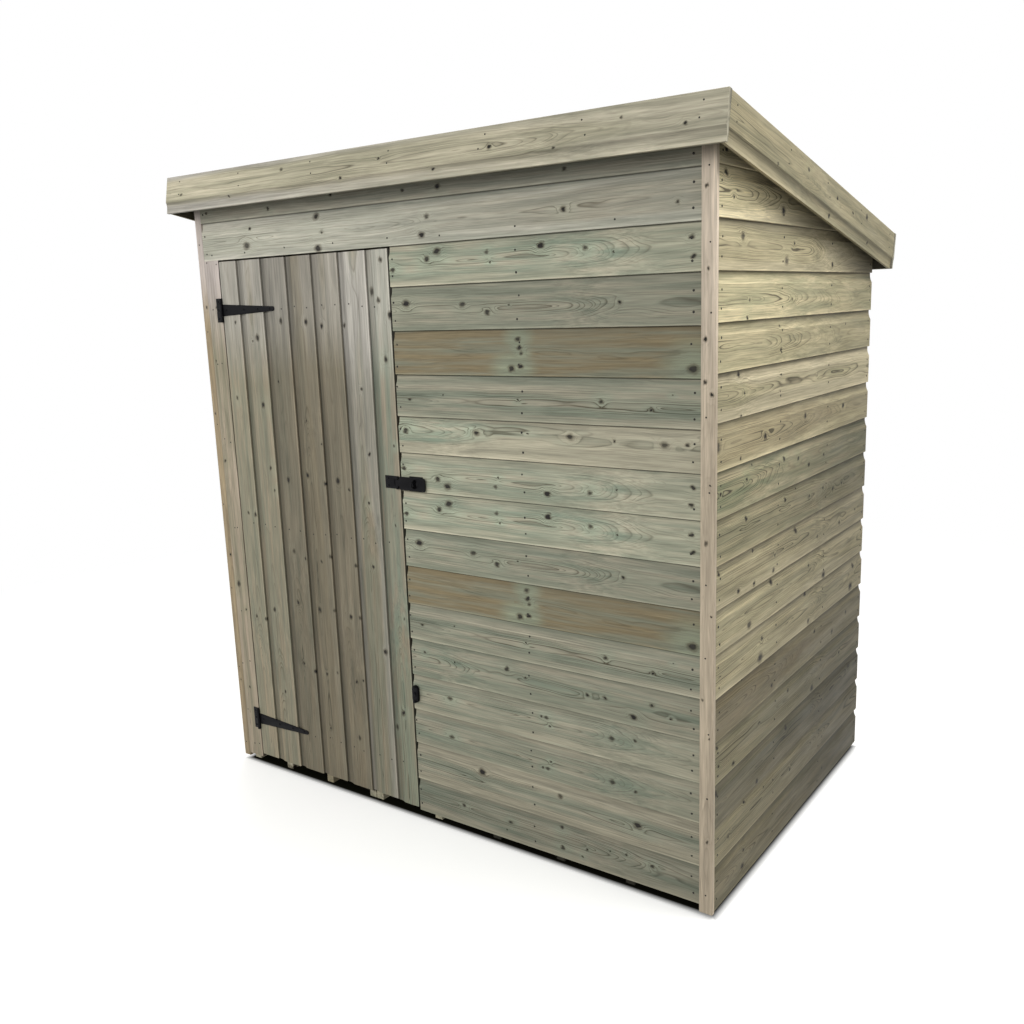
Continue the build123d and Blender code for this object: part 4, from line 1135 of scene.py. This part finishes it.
def dull_wire(name):
    """Bright wire nails gone dull outdoors: dark grey-brown with a faint gleam."""
    wire = tuple(bpy.context.scene.shed_colours.nail)[:3]
    material, shader, add, join = new_material(name)
    tarnish = add("TexNoise", (add("TexCoord").outputs["Object"], 1 / (4 * MM), 2.0))
    patchy = add("MapRange", (tarnish, 0.0, 1.0, 0.6, 1.5))
    join(shader, {
        "Base Color": add("VectorMath", (wire, patchy), operation="SCALE"), "Metallic": 0.4, "Roughness": 0.6
    })
    return material


def turned_head(work, centre, out, side, rings):
    """Skins a nail's or screw's head from rings of points, lowest first.

    A ring gives its points' distances from the axis, and its level above the surface.
    """
    other = out.cross(side)
    loops = []
    for reaches, rise in rings:
        loop = []
        for n, reach in enumerate(reaches):
            turn = math.tau * n / len(reaches)
            aside = math.cos(turn) * side + math.sin(turn) * other
            loop.append(work.verts.new(centre + reach * aside + rise * out))
        loops.append(loop)
    for lower, upper in zip(loops, loops[1:]):
        for n in range(len(lower)):
            k = (n + 1) % len(lower)
            work.faces.new((lower[n], lower[k], upper[k], upper[n]))
    work.faces.new(loops[-1])
    work.faces.new(loops[0][::-1])


def nail_head(work, centre, out, radius, height):
    """A low domed head on a surface, closed at the back just inside it."""
    dome = ((1.0, -0.6), (1.0, 0.35), (0.72, 0.85))
    rings = [([radius * share] * 10, height * rise) for share, rise in dome]
    turned_head(work, centre, out, out.orthogonal().normalized(), rings)


def screw_head(work, centre, out, radius, height, turn):
    """A round-head screw with a cross recess sunk into its dome."""
    dome = ((1.0, -0.5), (1.0, 0.15), (0.86, 0.6), (0.62, 0.88), (0.5, 0.95))
    rings = [([radius * share] * 16, height * rise) for share, rise in dome]
    cross = [radius * share for share in (0.42, 0.3, 0.14, 0.3)] * 4
    rings += [(cross, 0.93 * height), (cross, 0.38 * height)]
    side = Matrix.Rotation(turn, 3, out) @ out.orthogonal()
    turned_head(work, centre, out, side.normalized(), rings)


def finish_nails(work, name, body):
    """Turns nail heads into an object of dull wire."""
    finished(work, name, body, "zinc_screw", shared("Steel wire, weathered", dull_wire))


class SHED_OT_cover_roof(Operator):
    """Boards the roof down the slope and lays two lapped sheets of felt on it"""

    bl_idname = "shed.cover_roof"
    bl_label = "Cover roof"

    def execute(self, context):
        timber = context.scene.shed_timber
        low, high = roof_box("roof_deck")
        count = round((high.x - low.x) / timber.deck_boards)
        cover = (high.x - low.x) / count
        section = plank_section(cover - 0.6 * MM, high.z - low.z, 1.5 * MM)
        reach = (low.y, high.y)
        stack = Stack()
        for n in range(count):
            cut = Cut(random_board(9100 + n, *reach, 0.2), cover, reach)
            place = ROOF @ wall_place((low.x + (n + 1) * cover, 0, low.z), BACK, LEFT, DOWN)
            stack.board(section, stations(*reach, 0.12), place, cut)
        stack.piece("roof_boards", "shed", "framing", "roof_deck")

        low, high = roof_box("roof_felt")
        thick = timber.felt_thickness
        lap_start = low.y + UPPER_FELT
        lap_end = lap_start + timber.felt_lap
        lower_sheet = [(y, 0.0) for y in stations(lap_start, high.y, 0.06)]
        upper_sheet = [(y, 0.0) for y in stations(low.y, lap_start - 0.05, 0.06)]
        upper_sheet += [(y, thick) for y in stations(lap_start, lap_end, 0.025)]
        sheets = bmesh.new()
        for rows in (lower_sheet, upper_sheet):
            self.lay_sheet(sheets, rows, stations(low.x, high.x, 0.06), low.z, thick)
        bmesh.ops.recalc_face_normals(sheets, faces=sheets.faces)
        felt = shared("Bitumen felt, mineral faced", mineral_felt)
        finished(sheets, "felt_sheets", "shed", "roof_felt", felt, "roof_felt")

        # Nails close together along the lap, and further apart along the four edges
        top = low.z + thick
        places = [(x, lap_end - 0.02, low.z + 2 * thick) for x in stations(low.x + 0.03, high.x - 0.03, 0.06)]
        for x in stations(low.x + 0.05, high.x - 0.05, 0.15):
            places += [(x, low.y + 0.02, top), (x, high.y - 0.02, top)]
        for y in stations(low.y + 0.12, high.y - 0.12, 0.15):
            places += [(low.x + 0.02, y, top), (high.x - 0.02, y, top)]
        rng = random.Random(92)
        heads = bmesh.new()
        for x, y, z in places:
            spot = Vector((x + rng.uniform(-4, 4) * MM, y + rng.uniform(-3, 3) * MM, z))
            nail_head(heads, ROOF @ spot, ROOF.to_3x3() @ UP, 4.5 * MM, FELT_NAIL)
        finish_nails(heads, "felt_nails", "shed")
        return {"FINISHED"}

    @staticmethod
    def lay_sheet(work, rows, columns, base, thick):
        """A closed sheet over rows of place and lift; its upper face is a little wavy."""
        layers = []
        for wave, bottom in ((0.0, base), (0.3 * MM, base + thick)):
            grid = []
            for y, lift in rows:
                spots = [Vector((x, y, bottom + lift + wave * math.sin(7 * x + 11 * y))) for x in columns]
                grid.append([work.verts.new(ROOF @ spot) for spot in spots])
            layers.append(grid)
        under, over = layers
        for i in range(len(rows) - 1):
            for j in range(len(columns) - 1):
                for grid in layers:
                    work.faces.new((grid[i][j], grid[i][j + 1], grid[i + 1][j + 1], grid[i + 1][j]))
            for j in (0, len(columns) - 1):
                work.faces.new((under[i][j], under[i + 1][j], over[i + 1][j], over[i][j]))
        for i in (0, len(rows) - 1):
            for j in range(len(columns) - 1):
                work.faces.new((under[i][j], under[i][j + 1], over[i][j + 1], over[i][j]))


class SHED_OT_fit_ironwork(Operator):
    """Fits the black tee hinges, hasp, staple and turn button, with their screws"""

    bl_idname = "shed.fit_ironwork"
    bl_label = "Fit ironwork"

    def execute(self, context):
        bodies = {
            "shed": ("upper_hinge_plate", "lower_hinge_plate", "hasp_staple", "turn_button_screw"),
            "door": ("upper_hinge_strap", "lower_hinge_strap", "hasp_hinge_plate"),
            "hasp": ("hasp_strap",),
            "button": ("turn_button",),
        }
        paint = shared("Steel, black powder coated", black_paint)
        for body, names in bodies.items():
            for name in names:
                slot = "zinc_screw" if name == "turn_button_screw" else "black_steel"
                solid = eased_solid(name, 0.5 * MM)
                if name == "hasp_hinge_plate":
                    self.back_leaf(solid, *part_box(name))
                finished(solid, name + "_painted", body, slot, paint, name)

        # Screws by node: millimetres from its left end and share of its height, seat, radius and head
        plate = [(9, share) for share in (0.14, 0.5, 0.86)]
        strap = [(along, 0.5) for along in (26, 110, 176, 232)]
        hasp = [(12, share) for share in (0.22, 0.78)]
        groups = (
            ("hinge_plate_screws", "shed", (
                ("upper_hinge_plate", plate, 2.5, 3.8, 2.2), ("lower_hinge_plate", plate, 2.5, 3.8, 2.2),
            )),
            ("hinge_strap_screws", "door", (
                ("upper_hinge_strap", strap, 2.5, 3.8, 2.2), ("lower_hinge_strap", strap, 2.5, 3.8, 2.2),
                ("hasp_hinge_plate", hasp, 2.0, 3.4, 1.8),
            )),
        )
        rng = random.Random(55)
        for piece, body, rows in groups:
            screws = bmesh.new()
            for name, places, seat, radius, height in rows:
                low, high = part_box(name)
                for along, share in places:
                    spot = Vector((low.x + along * MM, high.y - seat * MM, low.z + (high.z - low.z) * share))
                    screw_head(screws, spot, FRONT, radius * MM, height * MM, rng.uniform(0, 1.5))
            finished(screws, piece, body, "black_steel", paint)
        return {"FINISHED"}

    @staticmethod
    def back_leaf(solid, low, high):
        """Thin steel behind the gap where the strap's knuckle turns, so that no wood shows through."""
        leaf = Vector((8 * MM, 0.6 * MM, 22 * MM))
        centre = Vector((high.x - 15 * MM, high.y - 0.5 * leaf.y, (low.z + high.z) / 2))
        block = Matrix.Translation(centre) @ Matrix.Diagonal(leaf).to_4x4()
        bmesh.ops.create_cube(solid, size=1.0, matrix=block)


class SHED_OT_drive_nails(Operator):
    """Drives the nails that hold the boards, two to a board at each stud, and those of the door and trim"""

    bl_idname = "shed.drive_nails"
    bl_label = "Drive nails"

    def execute(self, context):
        rng = random.Random(61)
        self.nail_walls(rng)
        self.nail_trim(rng)
        self.nail_door(rng)
        return {"FINISHED"}

    @staticmethod
    def nail_walls(rng):
        """Two nails to a board at each stud, clear of the roof, and a row along the header's foot."""
        # Studs are millimetres along the wall
        walls = (
            ("front_wall_cladding", FRONT, FRONT_SEAMS, (-79, 350, 844)),
            ("front_header_cladding", FRONT, HEADER_SEAMS, (844, -878)),
            ("right_wall_cladding", RIGHT, SIDE_SEAMS, (-582, -195, 195, 577)),
            ("left_wall_cladding", LEFT, SIDE_SEAMS, (-565, -195, 195, 577)),
            ("back_wall_cladding", BACK, BACK_SEAMS, (-842, -421, 0, 421, 842)),
        )
        roof_gap = 0.02
        work = bmesh.new()
        for name, out, seams, studs in walls:
            axis, face = outer_face(*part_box(name), out)
            for low, high in zip(seams, seams[1:]):
                for stud in studs:
                    for share in (0.23, 0.68):
                        spot = face.copy()
                        spot[axis] = (stud + rng.uniform(-5, 5)) * MM
                        spot.z = (low + (high - low) * (share + rng.uniform(-0.05, 0.05))) * MM
                        if (TO_ROOF @ spot).z <= DECK_LEVEL - roof_gap:
                            nail_head(work, spot, out, rng.uniform(2.6, 3.3) * MM, WALL_NAIL)
        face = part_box("front_header_cladding")[0].y
        row = 1768
        for x in (-845, -690, -515, -300, -90, 100, 345, 635):
            spot = Vector(((x + rng.uniform(-6, 6)) * MM, face, (row + rng.uniform(-4, 4)) * MM))
            nail_head(work, spot, FRONT, 2.6 * MM, WALL_NAIL)
        finish_nails(work, "cladding_nails", "shed")

    @staticmethod
    def nail_trim(rng):
        """Small nails up the strips and the plank, and in pairs along the fascias."""
        # Shares of the width, and heights in millimetres
        trims = (
            ("right_corner_strip", (0.5,), (70, 330, 520, 700, 905, 1115, 1290, 1530, 1700, 1860)),
            ("left_corner_strip", (0.5,), (70, 350, 640, 930, 1220, 1510, 1800)),
            ("left_jamb_board", (0.25, 0.82), (60, 190, 370, 565, 852, 1165, 1422, 1592, 1738)),
        )
        work = bmesh.new()
        for name, shares, heights in trims:
            low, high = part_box(name)
            for z in heights:
                for share in shares:
                    x = low.x + (high.x - low.x) * (share + rng.uniform(-0.2, 0.2))
                    spot = Vector((x, low.y, (z + rng.uniform(-12, 12)) * MM))
                    nail_head(work, spot, FRONT, rng.uniform(2.0, 2.6) * MM, TRIM_NAIL)
        for name, (out, _, _) in FASCIAS.items():
            low, high = roof_box(name)
            axis, face = outer_face(low, high, out)
            for along in stations(low[axis] + 0.05, high[axis] - 0.05, 0.3):
                for drop in (0.02, 0.055):
                    place = face - FASCIA_INSET * out
                    place.z = rng.uniform(-4, 4) * MM - drop
                    place[axis] = along + rng.uniform(-15, 15) * MM
                    nail_head(work, ROOF @ place, ROOF.to_3x3() @ out, 2.3 * MM, TRIM_NAIL)
        finish_nails(work, "trim_nails", "shed")

    @staticmethod
    def nail_door(rng):
        """Two nails through each door board into each ledge."""
        work = bmesh.new()
        low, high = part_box("door_boards")
        for ledge in ("door_top_ledge", "door_middle_ledge", "door_bottom_ledge"):
            ledge_low, ledge_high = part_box(ledge)
            middle = (ledge_low.z + ledge_high.z) / 2
            for near, far in zip(DOOR_SEAMS, DOOR_SEAMS[1:]):
                for share in (0.2, 0.66):
                    x = high.x - (near + (far - near) * (share + rng.uniform(-0.06, 0.06))) * MM
                    if ledge_low.x < x < ledge_high.x:
                        spot = Vector((x, low.y, middle + rng.uniform(-7, 7) * MM))
                        nail_head(work, spot, FRONT, 2.4 * MM, TRIM_NAIL)
        finish_nails(work, "door_nails", "door")


def looked_at(add):
    """One where the camera sees a surface, straight or in a gloss, and zero for light that bounces."""
    path = add("LightPath").outputs
    seen = add("Math", (path["Is Camera Ray"], path["Is Glossy Ray"]), operation="MAXIMUM")
    return add("Math", (seen, path["Is Transmission Ray"]), operation="MAXIMUM")


def floor_paint(name):
    """Matt white paint: white to the eye, greyer to the light that bounces off it, painted shade under the
    shed.
    """
    stage = bpy.context.scene.shed_stage
    material, shader, add, join = new_material(name)
    # The floor inside the shed's footprint is painted in shade
    half = Vector((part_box("right_wall_cladding")[1].x, -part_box("front_wall_cladding")[0].y, 0))
    ground = add("TexCoord").outputs["Object"]
    folded = add("VectorMath", (ground,), operation="ABSOLUTE")
    beyond = add("VectorMath", (folded, half), operation="SUBTRACT")
    beyond = add("SeparateXYZ", (beyond,)).outputs
    outside = add("Math", (beyond["X"], beyond["Y"]), operation="MAXIMUM")
    lit = add("MapRange", (outside, -12 * MM, 12 * MM))
    join(shader, {
        "Base Color": add("Mix", (lit, stage.shade, stage.floor), data_type="RGBA"),
        "Roughness": 0.9,
        "Specular IOR Level": 0.0,
    })
    # The shadow fades into plain white between 1.6 and 4 m from the shed's middle
    away = add("VectorMath", (ground,), operation="LENGTH").outputs["Value"]
    fade = add("MapRange", (away, 1.6, 4.0))
    grey = add("BsdfDiffuse", ((0.3, 0.3, 0.29, 1),))
    white = add("Emission", ((1, 1, 1, 1), 1.0))
    glow = add("Math", (lit, 0.3), operation="MULTIPLY")
    glow = add("Emission", ((1, 1, 1, 1), glow))
    near = add("MixShader", (fade, add("AddShader", (shader, glow)), white))
    both = add("MixShader", (looked_at(add), grey, near))
    join(material.node_tree.nodes["Material Output"], {"Surface": both})
    return material


class SHED_OT_set_stage(Operator):
    """Sets the pale floor, the soft lamps and the camera"""

    bl_idname = "shed.set_stage"
    bl_label = "Set stage"

    def execute(self, context):
        context.scene.view_settings.view_transform = "Standard"
        self.lay_ground(context.scene)
        self.light_sky(context.scene)
        self.hang_lamps(context.scene)
        self.place_camera(context.scene)
        return {"FINISHED"}

    @staticmethod
    def lay_ground(scene):
        """A round floor, wide enough for its edge not to show."""
        work = bmesh.new()
        bmesh.ops.create_circle(work, cap_ends=True, segments=96, radius=40.0)
        mesh = bpy.data.meshes.new("studio_floor")
        work.to_mesh(mesh)
        work.free()
        mesh.materials.append(floor_paint("Studio floor, matt paint"))
        floor = bpy.data.objects.new("studio_floor", mesh)
        scene.collection.objects.link(floor)

    @staticmethod
    def light_sky(scene):
        """Soft light from all round, stronger from above; the camera sees plain white."""
        scene.world = bpy.data.worlds.new("studio_sky")
        scene.world.use_nodes = True
        tree = scene.world.node_tree
        add = partial(node, tree)
        sky = scene.shed_stage.sky
        rise = add("SeparateXYZ", (add("TexCoord").outputs["Generated"],)).outputs["Z"]
        glow = add("MapRange", (rise, -0.1, 0.9, 0.6 * sky, 1.5 * sky))
        strength = add("Mix", (looked_at(add), glow, 1.0), data_type="FLOAT")
        plug(tree, tree.nodes["Background"], {"Strength": strength, "Color": (1, 1, 1, 1)})

    @staticmethod
    def hang_lamps(scene):
        """Three wide suns and two round softboxes, which the camera doesn't see."""
        stage = scene.shed_stage
        origin = (0.0, 0.0, 0.0)
        # Name, kind, strength, the sun's spread in degrees or the softbox's width in metres, place and target
        lamps = (
            ("key_light", "SUN", stage.key_strength, 32, (1.2, -4.6, 2.2), origin),
            ("front_fill", "SUN", stage.fill_strength, 40, (0.9, -4.0, 0.35), origin),
            ("back_light", "SUN", stage.back_strength, 40, (-2.6, 3.6, 2.6), origin),
            ("side_softbox", "AREA", stage.side_power, 1.4, (2.0, -0.2, 3.4), (0.9, 0.0, 1.3)),
            ("left_softbox", "AREA", stage.left_power, 1.4, (-1.3, -2.6, 1.9), (-0.4, -0.6, 1.4)),
        )
        for name, kind, strength, spread, place, target in lamps:
            lamp = bpy.data.lights.new(name, kind)
            lamp.energy = strength
            if kind == "SUN":
                lamp.angle = math.radians(spread)
            else:
                lamp.shape = "DISK"
                lamp.size = spread
            hung = bpy.data.objects.new(name, lamp)
            hung.location = place
            hung.rotation_euler = (Vector(target) - Vector(place)).to_track_quat("-Z", "Y").to_euler()
            hung.visible_camera = False
            scene.collection.objects.link(hung)

    @staticmethod
    def place_camera(scene):
        """The photo's camera, worked out from the board seams of the two walls that it shows."""
        place = Vector((1.8642, -2.7708, 1.5753))
        right = Vector((0.8165, 0.5763, -0.0347))
        up = Vector((-0.0894, 0.1856, 0.9786))
        behind = Vector((0.5704, -0.7959, 0.2030))
        camera = bpy.data.cameras.new("photo_camera")
        camera.lens = scene.shed_stage.lens
        camera.sensor_width = 36.0
        camera.sensor_fit = "HORIZONTAL"
        scene.camera = bpy.data.objects.new("photo_camera", camera)
        scene.camera.matrix_world = wall_place(place, right, up, behind)
        scene.collection.objects.link(scene.camera)


class SHED_PT_panel(Panel):
    """Lists the shed's settings and building steps"""

    bl_label = "Garden Shed"
    bl_idname = "SHED_PT_panel"
    bl_space_type = "VIEW_3D"
    bl_region_type = "UI"
    bl_category = "Shed"

    def draw(self, context):
        for group in SETTINGS:
            settings = getattr(context.scene, group)
            for name in settings.__annotations__:
                self.layout.prop(settings, name)
        for step in STEPS:
            self.layout.operator(step.bl_idname)


STEPS = (
    SHED_OT_lay_cladding,
    SHED_OT_fit_trim,
    SHED_OT_fit_fascias,
    SHED_OT_hang_door,
    SHED_OT_set_framing,
    SHED_OT_lay_floor,
    SHED_OT_cover_roof,
    SHED_OT_fit_ironwork,
    SHED_OT_drive_nails,
    SHED_OT_set_stage,
)
SETTINGS = {"shed_timber": ShedTimber, "shed_colours": ShedColours, "shed_stage": ShedStage}


def register():
    """Registers the settings, steps and panel."""
    for name, group in SETTINGS.items():
        bpy.utils.register_class(group)
        setattr(bpy.types.Scene, name, PointerProperty(type=group))
    for step in (*STEPS, SHED_PT_panel):
        bpy.utils.register_class(step)


def unregister():
    """Takes them away again."""
    for step in reversed((*STEPS, SHED_PT_panel)):
        bpy.utils.unregister_class(step)
    for name, group in SETTINGS.items():
        delattr(bpy.types.Scene, name)
        bpy.utils.unregister_class(group)


def main():
    """Builds the shed and its stage."""
    register()
    bpy.ops.shed.lay_cladding()
    bpy.ops.shed.fit_trim()
    bpy.ops.shed.fit_fascias()
    bpy.ops.shed.hang_door()
    bpy.ops.shed.set_framing()
    bpy.ops.shed.lay_floor()
    bpy.ops.shed.cover_roof()
    bpy.ops.shed.fit_ironwork()
    bpy.ops.shed.drive_nails()
    bpy.ops.shed.set_stage()
    bpy.context.view_layer.update()


if __name__ == "__main__":
    main()
